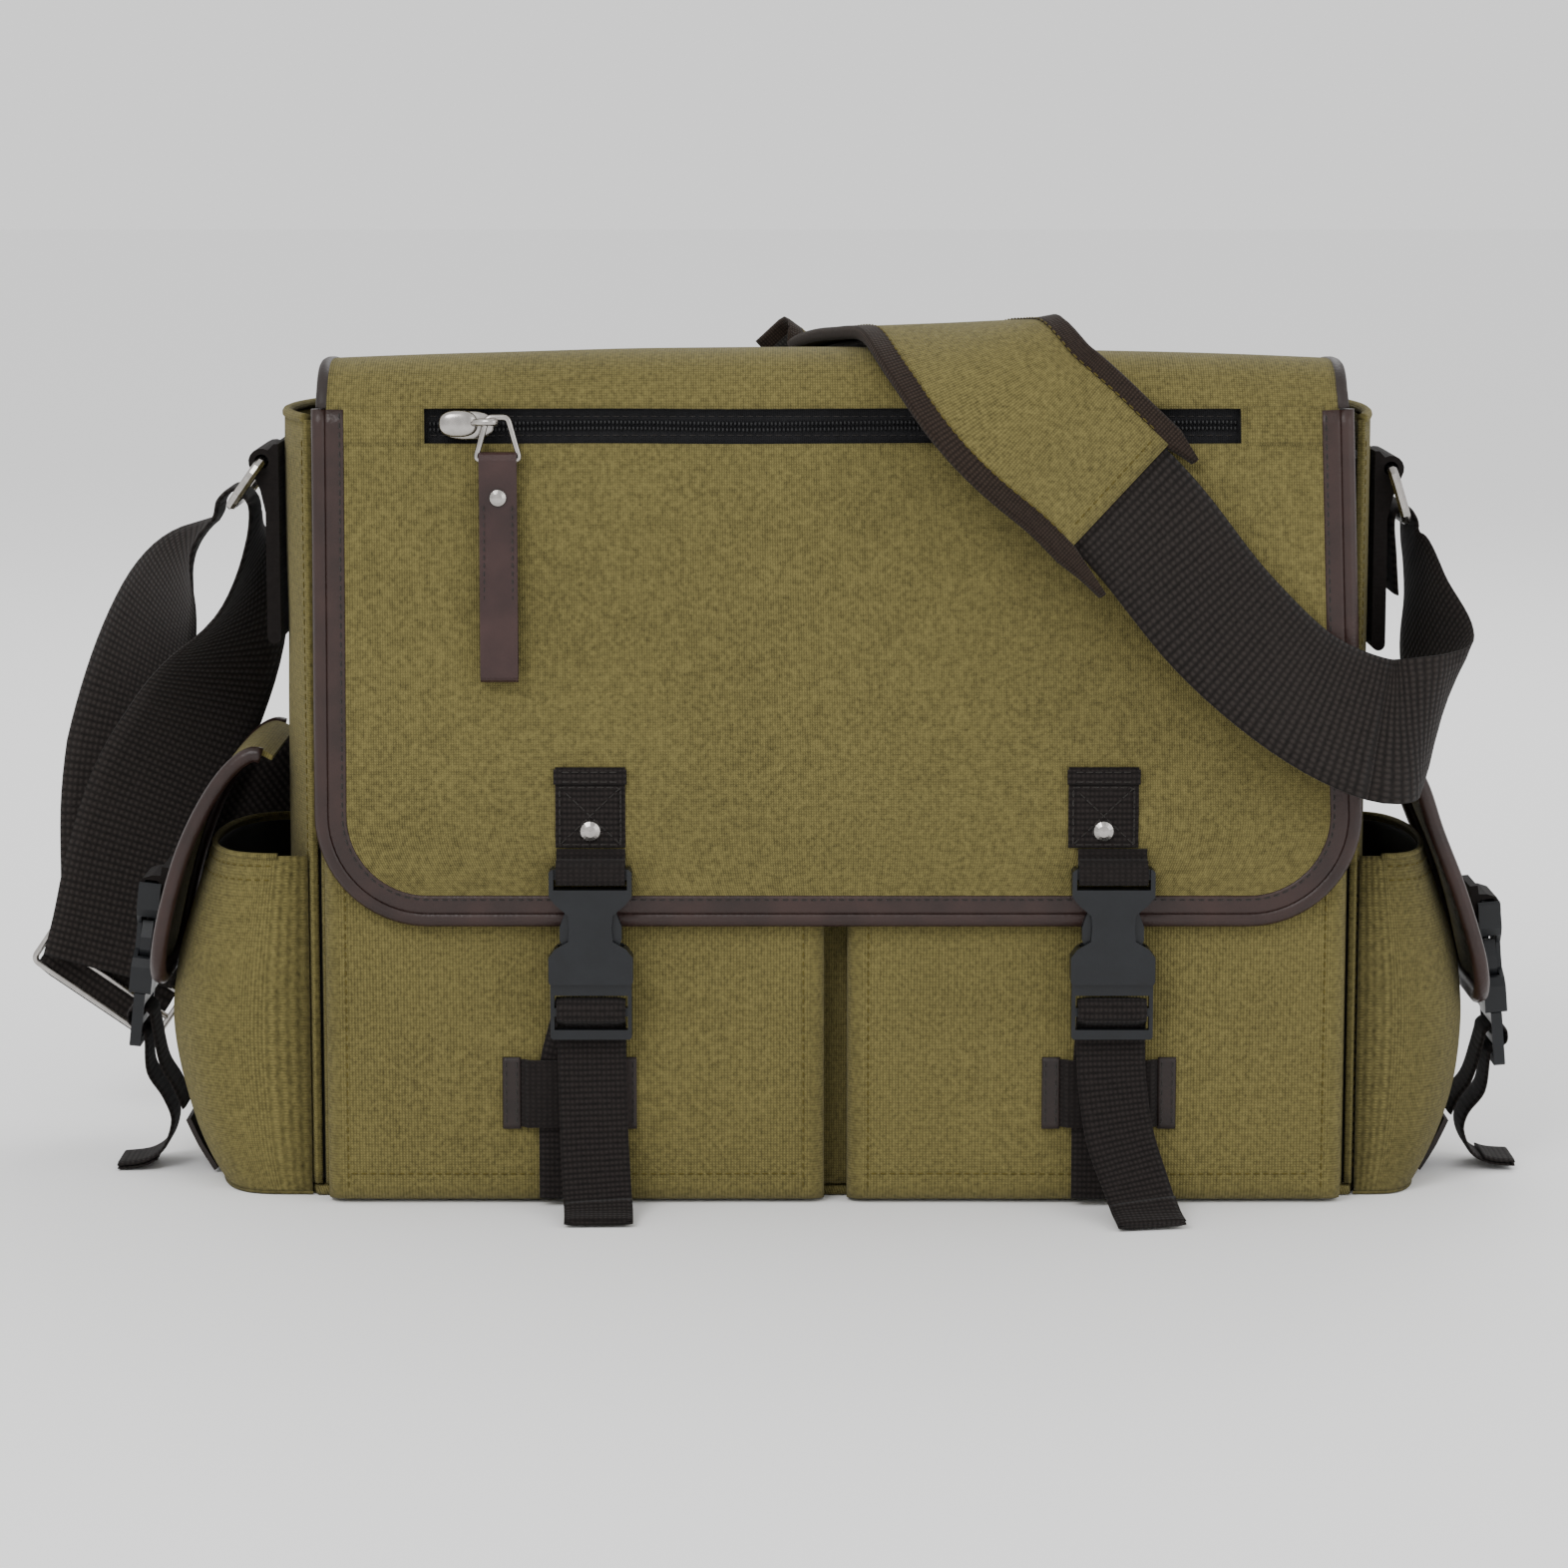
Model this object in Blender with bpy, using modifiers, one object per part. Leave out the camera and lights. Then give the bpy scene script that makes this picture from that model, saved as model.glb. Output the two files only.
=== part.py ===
"""Canvas messenger bag: a boxy body with front and side pockets, a flap with a zip and two
side-release buckles, buckled side-pocket flaps, D-rings and a padded shoulder strap.

Metres, +Z up, +X to the bag's right as seen from the front, -Y to the front.
The origin is the centre of the base's underside."""

from math import cos, pi, radians, sin, sqrt

import bmesh
import bpy
from mathutils import Matrix, Vector

MM = 0.001
GAP = 0.3 * MM                # clearance kept between pieces that touch

# Bag body
HALF_W = 181 * MM             # half the width of the front and back panels
HALF_D = 50 * MM              # half the depth of the body
GUSSET_BULGE = {"left": 12.2 * MM, "right": 7 * MM}    # how far a gusset bows out at mid depth
CANVAS = 3 * MM               # canvas with its backing
FRONT_TOP = 268 * MM
GUSSET_TOP = 276 * MM
BACK_TOP = 280 * MM
BASE_T = 3.5 * MM
WALL_BOTTOM = 4 * MM

# Front pockets
POCKET_FACE_Y = -64 * MM
POCKET_TOP = 185 * MM
POCKET_WALL = 1.5 * MM
POCKET_GAP_LEFT = -3.5 * MM
POCKET_GAP_RIGHT = 4.5 * MM

# Side pockets: reach beyond the gusset seam at a height, bottom to rim
SIDE_POCKET_REACH = ((1, 37), (10, 42.5), (22, 47.5), (40, 52), (58, 54), (75, 52.5), (88, 49.5), (105, 44), (122, 38))
SIDE_POCKET_LESS = {"left": 0, "right": 11 * MM}      # how much less each pocket bulges
SIDE_POCKET_WALL = 1.6 * MM
SIDE_POCKET_HALF_D = 49 * MM

# Flap
FLAP_LEFT = -176 * MM
FLAP_RIGHT = 178.5 * MM
FLAP_BOTTOM = 105.5 * MM
FLAP_CORNER = 34 * MM
FLAP_Y = -67.2 * MM           # mid-thickness of the hanging panel
FLAP_T = 1.6 * MM
ZIP_LOW = 270.5 * MM
ZIP_HIGH = 280.5 * MM
ZIP_LEFT = -141.5 * MM
ZIP_RIGHT = 139.5 * MM
HINGE = Vector((0, 51 * MM, 283.5 * MM))
SLIDER_START = Vector((-127, -66.1, 275.5)) * MM
BAIL_TOP = Vector((-116, -73.1, 278.5)) * MM
BAIL_FOOT = Vector((-116, -73.1, 264)) * MM
BINDING_R = 2.6 * MM

# Front hardware
TAB_X = {"left": -85.1 * MM, "right": 93.5 * MM}
BUCKLE_X = {"left": -85.0 * MM, "right": 96.8 * MM}
KEEPER_X = {"left": -93.1 * MM, "right": 96.6 * MM}
BUCKLE_Z = 81.5 * MM          # height of the joint line between the buckle's halves
BUCKLE_Y = -74.6 * MM
NARROW_WEB = 25 * MM
WEB_T = 1.4 * MM

# Side flaps and their buckles
SIDE_FLAP_HALF = 37 * MM
SIDE_FLAP_T = 2.2 * MM
SIDE_BUCKLE = {"left": (-251.2, 66.0, 6.5), "right": (240.6, 59.0, 5.0)}

# Rings and shoulder strap
WIDE_WEB = 50 * MM
STRAP_T = 1.7 * MM
RING_WIRE = 1.9 * MM
RING_PIVOT = {"left": Vector((-202.8, 0, 259.5)) * MM, "right": Vector((197.4, 0, 257.0)) * MM}
RING_TILT = {"left": 35.0, "right": 17.0}     # degrees out from straight down
RING_DROP = 21 * MM

OUTWARD = {"left": -1, "right": 1}
SIDES = ("left", "right")

PALETTE = {
    "canvas": ((0.185, 0.160, 0.064), 0.92, 0.0),
    "lining": ((0.020, 0.020, 0.018), 0.85, 0.0),
    "leather": ((0.060, 0.035, 0.030), 0.45, 0.0),
    "webbing": ((0.022, 0.018, 0.016), 0.88, 0.0),
    "tape": ((0.030, 0.020, 0.016), 0.85, 0.0),
    "plastic": ((0.028, 0.031, 0.036), 0.38, 0.0),
    "nickel": ((0.62, 0.60, 0.57), 0.22, 1.0),
    "zip": ((0.010, 0.010, 0.011), 0.40, 0.0),
    "padding": ((0.030, 0.028, 0.026), 0.90, 0.0),
}


def clear_scene():
    for thing in list(bpy.data.objects):
        bpy.data.objects.remove(thing)


def new_collection(name):
    collection = bpy.data.collections.new(name)
    bpy.context.scene.collection.children.link(collection)
    return collection


clear_scene()
PARTS = new_collection("messenger_bag")
CUTTERS = new_collection("cutters")


def material(finish, name):
    """A Principled material of its own for one node."""
    colour, roughness, metallic = PALETTE[finish]
    made = bpy.data.materials.new(name)
    made.use_nodes = True
    shader = made.node_tree.nodes["Principled BSDF"]
    shader.inputs["Base Color"].default_value = (*colour, 1)
    shader.inputs["Roughness"].default_value = roughness
    shader.inputs["Metallic"].default_value = metallic
    made.diffuse_color = (*colour, 1)
    return made


def add(name, data, finish, smooth=False):
    """Puts a mesh or curve in the bag's collection as a named sub-part."""
    made = bpy.data.objects.new(name, data)
    PARTS.objects.link(made)
    data.materials.append(material(finish, name))
    if smooth and isinstance(data, bpy.types.Mesh):
        data.shade_smooth()
    return made


def solidify(thing, thickness, offset=-1):
    """Gives an open surface its thickness, on its back by default."""
    skin = thing.modifiers.new("thickness", "SOLIDIFY")
    skin.thickness = thickness
    skin.offset = offset
    skin.use_even_offset = True


def bevel(thing, width, segments=2, angle=40):
    edge = thing.modifiers.new("edges", "BEVEL")
    edge.width = width
    edge.segments = segments
    edge.limit_method = "ANGLE"
    edge.angle_limit = radians(angle)


def subtract(thing, cutter):
    """Cuts one closed shape out of another; the cutter stays as a hidden guide."""
    for collection in list(cutter.users_collection):
        collection.objects.unlink(cutter)
    CUTTERS.objects.link(cutter)
    cutter.hide_render = True
    cutter.display_type = "WIRE"
    cut = thing.modifiers.new("cut", "BOOLEAN")
    cut.operation = "DIFFERENCE"
    cut.solver = "EXACT"
    cut.object = cutter


def box_mesh(name, low, high):
    low, high = Vector(low), Vector(high)
    bm = bmesh.new()
    bmesh.ops.create_cube(bm, size=1)
    bmesh.ops.scale(bm, vec=high - low, verts=bm.verts)
    bmesh.ops.translate(bm, vec=(low + high) / 2, verts=bm.verts)
    mesh = bpy.data.meshes.new(name)
    bm.to_mesh(mesh)
    bm.free()
    return mesh


def box(name, low, high, finish, round_edges=0.0):
    made = add(name, box_mesh(name, low, high), finish)
    if round_edges:
        bevel(made, round_edges)
    return made


def cut_box(thing, name, low, high):
    cutter = bpy.data.objects.new(name, box_mesh(name, low, high))
    CUTTERS.objects.link(cutter)
    cutter.parent = thing.parent
    cutter.matrix_local = thing.matrix_local
    subtract(thing, cutter)


def plate_curve(name, outlines, thickness, plane="XZ"):
    """A flat plate from closed outlines (the first is the edge, the rest are holes), its mid
    plane on zero. An XZ plate's thickness is along Y, an XY plate's along Z and a YZ plate's
    along X; an outline's points are its plane's two coordinates."""
    curve = bpy.data.curves.new(name, "CURVE")
    curve.dimensions = "2D"
    curve.fill_mode = "BOTH"
    curve.extrude = thickness / 2
    for outline in outlines:
        spline = curve.splines.new("POLY")
        spline.points.add(len(outline) - 1)
        for point, (a, b) in zip(spline.points, outline):
            point.co = (a, b, 0, 1)
        spline.use_cyclic_u = True
    turn = {"XY": Matrix.Identity(4),
            "XZ": Matrix.Rotation(pi / 2, 4, "X"),
            "YZ": Matrix(((0, 0, 1, 0), (1, 0, 0, 0), (0, 1, 0, 0), (0, 0, 0, 1)))}[plane]
    return curve, turn


def plate(name, outlines, thickness, finish, plane="XZ", at=(0, 0, 0)):
    curve, turn = plate_curve(name, outlines, thickness, plane)
    made = add(name, curve, finish)
    made.matrix_world = Matrix.Translation(at) @ turn
    return made


def as_mesh(thing):
    """Turns a curve object into a closed mesh object in the same place, so it can be cut."""
    bpy.context.view_layer.update()
    source = thing.evaluated_get(bpy.context.evaluated_depsgraph_get())
    mesh = bpy.data.meshes.new_from_object(source)
    bm = bmesh.new()
    bm.from_mesh(mesh)
    bmesh.ops.remove_doubles(bm, verts=bm.verts, dist=1e-6)
    bmesh.ops.recalc_face_normals(bm, faces=bm.faces)
    bm.to_mesh(mesh)
    bm.free()
    name, place = thing.name, thing.matrix_world.copy()
    bpy.data.objects.remove(thing)
    made = bpy.data.objects.new(name, mesh)
    PARTS.objects.link(made)
    made.matrix_world = place
    return made


def tube(name, points, radius, finish, closed=False, resolution=2):
    """A round tube along a list of points."""
    curve = bpy.data.curves.new(name, "CURVE")
    curve.dimensions = "3D"
    curve.bevel_depth = radius
    curve.bevel_resolution = resolution
    curve.use_fill_caps = not closed
    spline = curve.splines.new("POLY")
    spline.points.add(len(points) - 1)
    for point, place in zip(spline.points, points):
        point.co = (*place, 1)
    spline.use_cyclic_u = closed
    return add(name, curve, finish)


def arc(centre, radius, start, end, steps):
    """Points along an arc in a plane, from one angle to another in degrees."""
    angles = [radians(start + (end - start) * i / steps) for i in range(steps + 1)]
    return [(centre[0] + radius * cos(a), centre[1] + radius * sin(a)) for a in angles]


def catmull(points, per_span):
    """A smooth curve through the points: each is a Vector, kept as one of the samples."""
    padded = [2 * points[0] - points[1], *points, 2 * points[-1] - points[-2]]
    samples = []
    for p0, p1, p2, p3 in zip(padded, padded[1:], padded[2:], padded[3:]):
        for i in range(per_span):
            t = i / per_span
            samples.append(0.5 * (2 * p1 + (p2 - p0) * t + (2 * p0 - 5 * p1 + 4 * p2 - p3) * t ** 2
                                  + (3 * p1 - p0 - 3 * p2 + p3) * t ** 3))
    samples.append(points[-1].copy())
    return samples


def band_frames(stations, per_span):
    """Centre, width direction and face direction along a band. A station is a point and the
    direction of the band's width there, both in millimetres and any length."""
    centres = catmull([Vector(p) * MM for p, _ in stations], per_span)
    widths = catmull([Vector(w).normalized() for _, w in stations], per_span)
    frames = []
    for i, (centre, across) in enumerate(zip(centres, widths)):
        ahead = centres[min(i + 1, len(centres) - 1)] - centres[max(i - 1, 0)]
        ahead.normalize()
        across = (across - ahead * across.dot(ahead)).normalized()
        frames.append((centre, across, ahead.cross(across)))
    return frames


def band(name, frames, width, thickness, finish, lift=0.0, shift=0.0, columns=2, shares=None):
    """A strip of webbing: the loft of a thin rectangle along the frames. lift moves it along
    its face direction and shift along its width. Both faces are split on the same diagonals, so
    a twist keeps its thickness. shares is how much of its width it keeps at each frame."""
    bm = bmesh.new()
    rings = []
    for i, (centre, across, face) in enumerate(frames):
        middle = centre + face * lift + across * shift
        reach = across * width * (shares[i] if shares else 1)
        row = [middle + reach * (k / columns - 0.5) for k in range(columns + 1)]
        under = [bm.verts.new(point - face * (thickness / 2)) for point in row]
        over = [bm.verts.new(point + face * (thickness / 2)) for point in row]
        rings.append((under, over))
    for (low_a, top_a), (low_b, top_b) in zip(rings, rings[1:]):
        for k in range(columns):
            for a, b in ((low_a, low_b), (top_a, top_b)):
                bm.faces.new((a[k], a[k + 1], b[k + 1]))
                bm.faces.new((a[k], b[k + 1], b[k]))
        for k in (0, columns):
            bm.faces.new((low_a[k], low_b[k], top_b[k]))
            bm.faces.new((low_a[k], top_b[k], top_a[k]))
    for low, top in (rings[0], rings[-1]):
        bm.faces.new((*low, *reversed(top)))
    bmesh.ops.recalc_face_normals(bm, faces=bm.faces)
    mesh = bpy.data.meshes.new(name)
    bm.to_mesh(mesh)
    bm.free()
    return add(name, mesh, finish)


def gusset_x(side, y, inset=0.0):
    """Outer surface of a gusset at depth y, measured outwards from the bag's middle."""
    return HALF_W + GAP + CANVAS + GUSSET_BULGE[side] * (1 - (y / HALF_D) ** 2) - inset


def side_arc(side, inset, half_depth, steps=8):
    """The gusset's bow in plan, front to back."""
    depths = [-half_depth + 2 * half_depth * i / steps for i in range(steps + 1)]
    return [(OUTWARD[side] * gusset_x(side, y, inset), y) for y in depths]


def plan_outline(inset, half_depth):
    return side_arc("right", inset, half_depth) + side_arc("left", inset, half_depth)[::-1]


def open_shell(name, low, high, wall, finish, open_sides, corner):
    """A box without some of its sides, as a shell. open_sides are outward directions."""
    mesh = box_mesh(name, low, high)
    bm = bmesh.new()
    bm.from_mesh(mesh)
    gone = [f for f in bm.faces if any(f.normal.dot(Vector(d)) > 0.9 for d in open_sides)]
    bmesh.ops.delete(bm, geom=gone, context="FACES_ONLY")
    inner = [e for e in bm.edges if len(e.link_faces) == 2]
    bmesh.ops.bevel(bm, geom=inner, offset=corner, segments=3, affect="EDGES", profile=0.5)
    bm.to_mesh(mesh)
    bm.free()
    made = add(name, mesh, finish)
    solidify(made, wall)
    return made


def make_body():
    box("front_panel", (-HALF_W, -HALF_D, WALL_BOTTOM), (HALF_W, -HALF_D + CANVAS, FRONT_TOP), "canvas")
    box("back_panel", (-HALF_W, HALF_D - CANVAS, WALL_BOTTOM), (HALF_W, HALF_D, BACK_TOP), "canvas")
    plate("base_panel", [plan_outline(0, HALF_D)], BASE_T, "canvas", "XY", (0, 0, BASE_T / 2))
    height = GUSSET_TOP - WALL_BOTTOM
    for side in SIDES:
        outline = side_arc(side, 0, HALF_D) + side_arc(side, CANVAS, HALF_D)[::-1]
        plate("gusset_" + side, [outline], height, "canvas", "XY", (0, 0, WALL_BOTTOM + height / 2))
    make_lining()


def make_lining():
    """Inner bag, hung inside the panels: an outline drawn up into walls, with a floor."""
    inset = CANVAS + GAP
    low, high = WALL_BOTTOM + GAP, 262 * MM
    outline = plan_outline(inset, HALF_D - inset)
    bm = bmesh.new()
    bottom = [bm.verts.new((x, y, low)) for x, y in outline]
    top = [bm.verts.new((x, y, high)) for x, y in outline]
    bm.faces.new(bottom)
    for i in range(len(outline)):
        j = (i + 1) % len(outline)
        bm.faces.new((bottom[i], bottom[j], top[j], top[i]))
    bmesh.ops.recalc_face_normals(bm, faces=bm.faces)
    mesh = bpy.data.meshes.new("lining")
    bm.to_mesh(mesh)
    bm.free()
    lining = add("lining", mesh, "lining")
    solidify(lining, 0.8 * MM)


def make_front_pockets():
    back = -HALF_D - GAP
    spans = {"left": (-179 * MM, POCKET_GAP_LEFT), "right": (POCKET_GAP_RIGHT, 179.5 * MM)}
    for side, (x0, x1) in spans.items():
        open_shell("front_pocket_" + side, (x0, POCKET_FACE_Y, 1 * MM), (x1, back, POCKET_TOP),
                   POCKET_WALL, "canvas", [(0, 0, 1), (0, 1, 0)], 5 * MM)


def side_pocket_section(side, reach, steps=12):
    """The pocket's outer wall in plan at one height, front to back, measured outwards."""
    root = gusset_x(side, SIDE_POCKET_HALF_D) + 1.2 * MM
    points = []
    for i in range(steps + 1):
        angle = -pi / 2 + pi * i / steps
        bow = max(cos(angle), 0) ** 0.45
        points.append((root + reach * bow, SIDE_POCKET_HALF_D * sin(angle)))
    return points


def make_side_pocket(side):
    out = OUTWARD[side]
    bm = bmesh.new()
    rings = []
    for z, reach in SIDE_POCKET_REACH:
        section = side_pocket_section(side, reach * MM - SIDE_POCKET_LESS[side])
        rings.append([bm.verts.new((out * x, y, z * MM)) for x, y in section])
    for a, b in zip(rings, rings[1:]):
        for i in range(len(a) - 1):
            bm.faces.new((a[i], a[i + 1], b[i + 1], b[i]))
    edge = side_arc(side, -GAP, SIDE_POCKET_HALF_D - 1 * MM)[::-1]
    floor_edge = [bm.verts.new((x, y, SIDE_POCKET_REACH[0][0] * MM)) for x, y in edge]
    bm.faces.new(rings[0] + floor_edge)
    bmesh.ops.recalc_face_normals(bm, faces=bm.faces)
    middle = rings[3][len(rings[3]) // 2]
    if middle.link_faces[0].normal.x * out < 0:
        bmesh.ops.reverse_faces(bm, faces=bm.faces)
    mesh = bpy.data.meshes.new("side_pocket_" + side)
    bm.to_mesh(mesh)
    bm.free()
    solidify(add("side_pocket_" + side, mesh, "canvas", smooth=False), SIDE_POCKET_WALL)


def flap_outline(inset, top):
    """The hanging panel's edge: straight sides with two rounded lower corners."""
    left, right, bottom = FLAP_LEFT + inset, FLAP_RIGHT - inset, FLAP_BOTTOM + inset
    corner = FLAP_CORNER - inset
    points = [(left + 2 * MM, top)]
    points += arc((left + corner, bottom + corner), corner, 180, 270, 8)
    points += arc((right - corner, bottom + corner), corner, 270, 360, 8)
    points.append((right - 6 * MM, top))
    return points


def make_flap():
    outer = flap_outline(0, 280.8 * MM)
    window = [(ZIP_LEFT, 283 * MM), (ZIP_LEFT, ZIP_LOW), (ZIP_RIGHT, ZIP_LOW), (ZIP_RIGHT, 283 * MM)]
    front = [*outer[:-1], outer[-1], (ZIP_RIGHT, 280.8 * MM), window[2], window[1], (ZIP_LEFT, 280.8 * MM)]
    plate("flap_front_panel", [front], FLAP_T, "canvas", "XZ", (0, FLAP_Y, 0))
    behind = FLAP_Y + FLAP_T / 2 + GAP
    plate("flap_lining", [flap_outline(5 * MM, 268 * MM)], 0.6 * MM, "lining", "XZ", (0, behind + 0.3 * MM, 0))
    make_flap_top()
    make_zip()
    rim = flap_outline(-BINDING_R - GAP - 0.2 * MM, 281.2 * MM)
    tube("flap_binding", [(x, FLAP_Y, z) for x, z in rim], BINDING_R, "leather")
    loop_front_tabs()


def make_flap_top():
    """The strip from the hinge seam over the bag's top and down to the zip."""
    spine = [(51, 283), (46, 288), (30, 291.5), (0, 295.5), (-30, 298), (-52, 297.8), (-61.5, 293.8),
             (-66.3, 287.5), (-67.2, 281.3)]
    bm = bmesh.new()
    left, right = FLAP_LEFT + 1 * MM, FLAP_RIGHT - 6 * MM
    rows = [[bm.verts.new((x, y * MM, z * MM)) for x in (left, right)] for y, z in spine]
    for a, b in zip(rows, rows[1:]):
        bm.faces.new((a[0], a[1], b[1], b[0]))
    bmesh.ops.recalc_face_normals(bm, faces=bm.faces)
    mesh = bpy.data.meshes.new("flap_top_panel")
    bm.to_mesh(mesh)
    bm.free()
    top = add("flap_top_panel", mesh, "canvas")
    solidify(top, FLAP_T, 0)


def make_zip():
    middle = (ZIP_LOW + ZIP_HIGH) / 2
    depth = FLAP_Y + FLAP_T / 2 + GAP
    box("zip_tape", (ZIP_LEFT - 4 * MM, depth, ZIP_LOW - 2 * MM), (ZIP_RIGHT + 4 * MM, depth + 0.5 * MM, 280.9 * MM), "zip")
    box("zip_coil", (ZIP_LEFT + 1 * MM, depth - GAP - 1.8 * MM, middle - 2 * MM),
        (ZIP_RIGHT - 1 * MM, depth - GAP, middle + 2 * MM), "zip", 0.5 * MM)
    slider_x = -127 * MM
    back, face = depth - GAP, depth - 5.4 * MM
    slider = box("zip_slider", (slider_x - 6.5 * MM, face, middle - 5 * MM),
                 (slider_x + 6.5 * MM, back, middle + 5 * MM), "nickel")
    cut_box(slider, "coil_channel", (slider_x - 9 * MM, depth - 2.5 * MM, middle - 2.4 * MM),
            (slider_x + 9 * MM, back + 1 * MM, middle + 2.4 * MM))
    make_pull(slider_x, face, middle)


def make_pull(x, face, z):
    """Wire bail hooked in front of the slider, and the folded leather strip that hangs from it."""
    x += 11 * MM
    y = face - 1.6 * MM
    outline = [(-4, 3), (4, 3), (8.3, -11.5), (-8.3, -11.5)]
    bail = [(x + a * MM, y, z + b * MM) for a, b in outline]
    tube("zip_bail", bail, 0.9 * MM, "nickel", closed=True)
    top, bottom = z - 11.5 * MM, 187 * MM
    inner, outer = 1.35 * MM, 2.65 * MM
    fold = arc((0, top), outer, 0, 180, 8)
    eye = arc((0, top), inner, 180, 0, 8)
    end = arc((0, bottom + 3.2 * MM), 3.2 * MM, 180, 360, 8)
    hollow_end = arc((0, bottom + 3.2 * MM), 1.9 * MM, 360, 180, 8)
    neck = [(1.5 * MM, top - 8 * MM), (1.5 * MM, top - 26 * MM)]
    loop = [*fold, *[(-a, b) for a, b in neck], *end, *neck[::-1]]
    hollow_low = [*hollow_end, (-0.3 * MM, top - 28 * MM), (0.3 * MM, top - 28 * MM)]
    hollow_high = [*eye, (0, top - 7 * MM)]
    plate("leather_pull", [loop, hollow_high, hollow_low], 13 * MM, "leather", "YZ", (x, y, 0))
    head = [(0, 1.5), (1.6, 1.2), (2.8, 0.5), (3.1, 0)]
    dome("pull_rivet", head, (x, y - 1.5 * MM - GAP, top - 13 * MM), "nickel")


def dome(name, head, at, finish):
    """A turned rivet head facing the front: (radius, height) pairs in millimetres, centre first."""
    bm = bmesh.new()
    verts = [bm.verts.new((r * MM, 0, h * MM)) for r, h in head]
    verts.append(bm.verts.new((0, 0, 0)))
    for a, b in zip(verts, verts[1:]):
        bm.edges.new((a, b))
    mesh = bpy.data.meshes.new(name)
    bm.to_mesh(mesh)
    bm.free()
    made = add(name, mesh, finish)
    turn = made.modifiers.new("turn", "SCREW")
    turn.steps = turn.render_steps = 20
    turn.use_merge_vertices = True
    turn.merge_threshold = 0.00001
    turn.use_smooth_shade = True
    made.matrix_world = Matrix.Translation(at) @ Matrix.Rotation(pi / 2, 4, "X")
    return made


def loop_front_tabs():
    tab_y = FLAP_Y - FLAP_T / 2 - GAP - 1.2 * MM
    for side in SIDES:
        x = TAB_X[side]
        box("flap_tab_" + side, (x - 12 * MM, tab_y - 1.2 * MM, 128.5 * MM),
            (x + 12 * MM, tab_y + 1.2 * MM, 157 * MM), "webbing", 0.4 * MM)
        head = [(0, 2.2), (2.0, 1.9), (3.4, 1.1), (4.0, 0.2), (4.0, 0)]
        dome("tab_rivet_" + side, head, (x, tab_y - 1.2 * MM - GAP, 134.6 * MM), "nickel")


# Side-release buckle, in its own frame: joint line at z 0, front face towards -Y

def mirrored(half):
    """A closed outline from its right half, listed bottom to top in millimetres."""
    right = [(x * MM, z * MM) for x, z in half]
    return right + [(-x, z) for x, z in reversed(right)]


def female_mesh():
    half = [(14.2, 0), (14.7, 1), (14.7, 9.5), (12.5, 12.5), (7.8, 15.2), (7.4, 20), (7.8, 24.5), (12, 28),
            (14.4, 31), (14.4, 39.6), (13.4, 40.6)]
    slot = [(-12.8, 33.4), (-12.8, 36.8), (12.8, 36.8), (12.8, 33.4)]
    curve, turn = plate_curve("female", [mirrored(half), [(x * MM, z * MM) for x, z in slot]], 8 * MM)
    blank = bpy.data.objects.new("female_blank", curve)
    PARTS.objects.link(blank)
    blank.matrix_world = turn
    return as_mesh(blank)


def male_mesh():
    frame = [(13.4, -19.8), (14.2, -19), (14.2, -0.3), (11.0, -0.3), (11.0, 4), (9.4, 12), (10.8, 15.5),
             (10.8, 20), (8.6, 26), (6.8, 26), (6.4, 3.5), (1.6, 3.5), (1.6, 20)]
    window = [(-12.8, -8.6), (-12.8, -4.2), (12.8, -4.2), (12.8, -8.6)]
    lower = [(-12.8, -16.4), (-12.8, -11.6), (12.8, -11.6), (12.8, -16.4)]
    holes = [[(x * MM, z * MM) for x, z in hole] for hole in (window, lower)]
    curve, turn = plate_curve("male", [mirrored(frame), *holes], 4 * MM)
    blank = bpy.data.objects.new("male_blank", curve)
    PARTS.objects.link(blank)
    blank.matrix_world = turn
    return as_mesh(blank)


def bake(blank, name):
    """Gives the blank's shape a transform of its own, so that each copy can be placed."""
    mesh = blank.data
    mesh.transform(blank.matrix_world)
    mesh.name = name
    bpy.data.objects.remove(blank)
    return mesh


def buckle_places():
    """Matrix of each buckle's own frame in the bag's."""
    places = {}
    for side in SIDES:
        places["front", side] = Matrix.Translation((BUCKLE_X[side], BUCKLE_Y, BUCKLE_Z))
        x, z, lean = SIDE_BUCKLE[side]
        turn = Matrix.Rotation(radians(90 * OUTWARD[side]), 4, "Z")
        tip = Matrix.Rotation(radians(-lean * OUTWARD[side]), 4, "Y")
        places["side", side] = Matrix.Translation((x * MM, 0, z * MM)) @ tip @ turn
    return places


def make_buckles(places):
    female = bake(female_mesh(), "female")
    male = bake(male_mesh(), "male")
    for (where, side), place in places.items():
        top = add(f"{where}_female_{side}", female.copy(), "plastic")
        top.matrix_world = place
        socket = bpy.data.objects.new(f"socket_{where}_{side}", box_mesh(
            "socket", (-11.5 * MM, -2.4 * MM, -2 * MM), (11.5 * MM, 2.4 * MM, 28.5 * MM)))
        CUTTERS.objects.link(socket)
        socket.matrix_world = place
        subtract(top, socket)
        for name, y in (("bar_front", -4.6), ("bar_back", 2.2)):
            thin = bpy.data.objects.new(f"{name}_{where}_{side}", box_mesh(
                name, (-12.8 * MM, y * MM, 33.4 * MM), (12.8 * MM, (y + 2.4) * MM, 42 * MM)))
            CUTTERS.objects.link(thin)
            thin.matrix_world = place
            subtract(top, thin)
        bottom = add(f"{where}_male_{side}", male.copy(), "plastic")
        bottom.matrix_world = place


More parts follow.
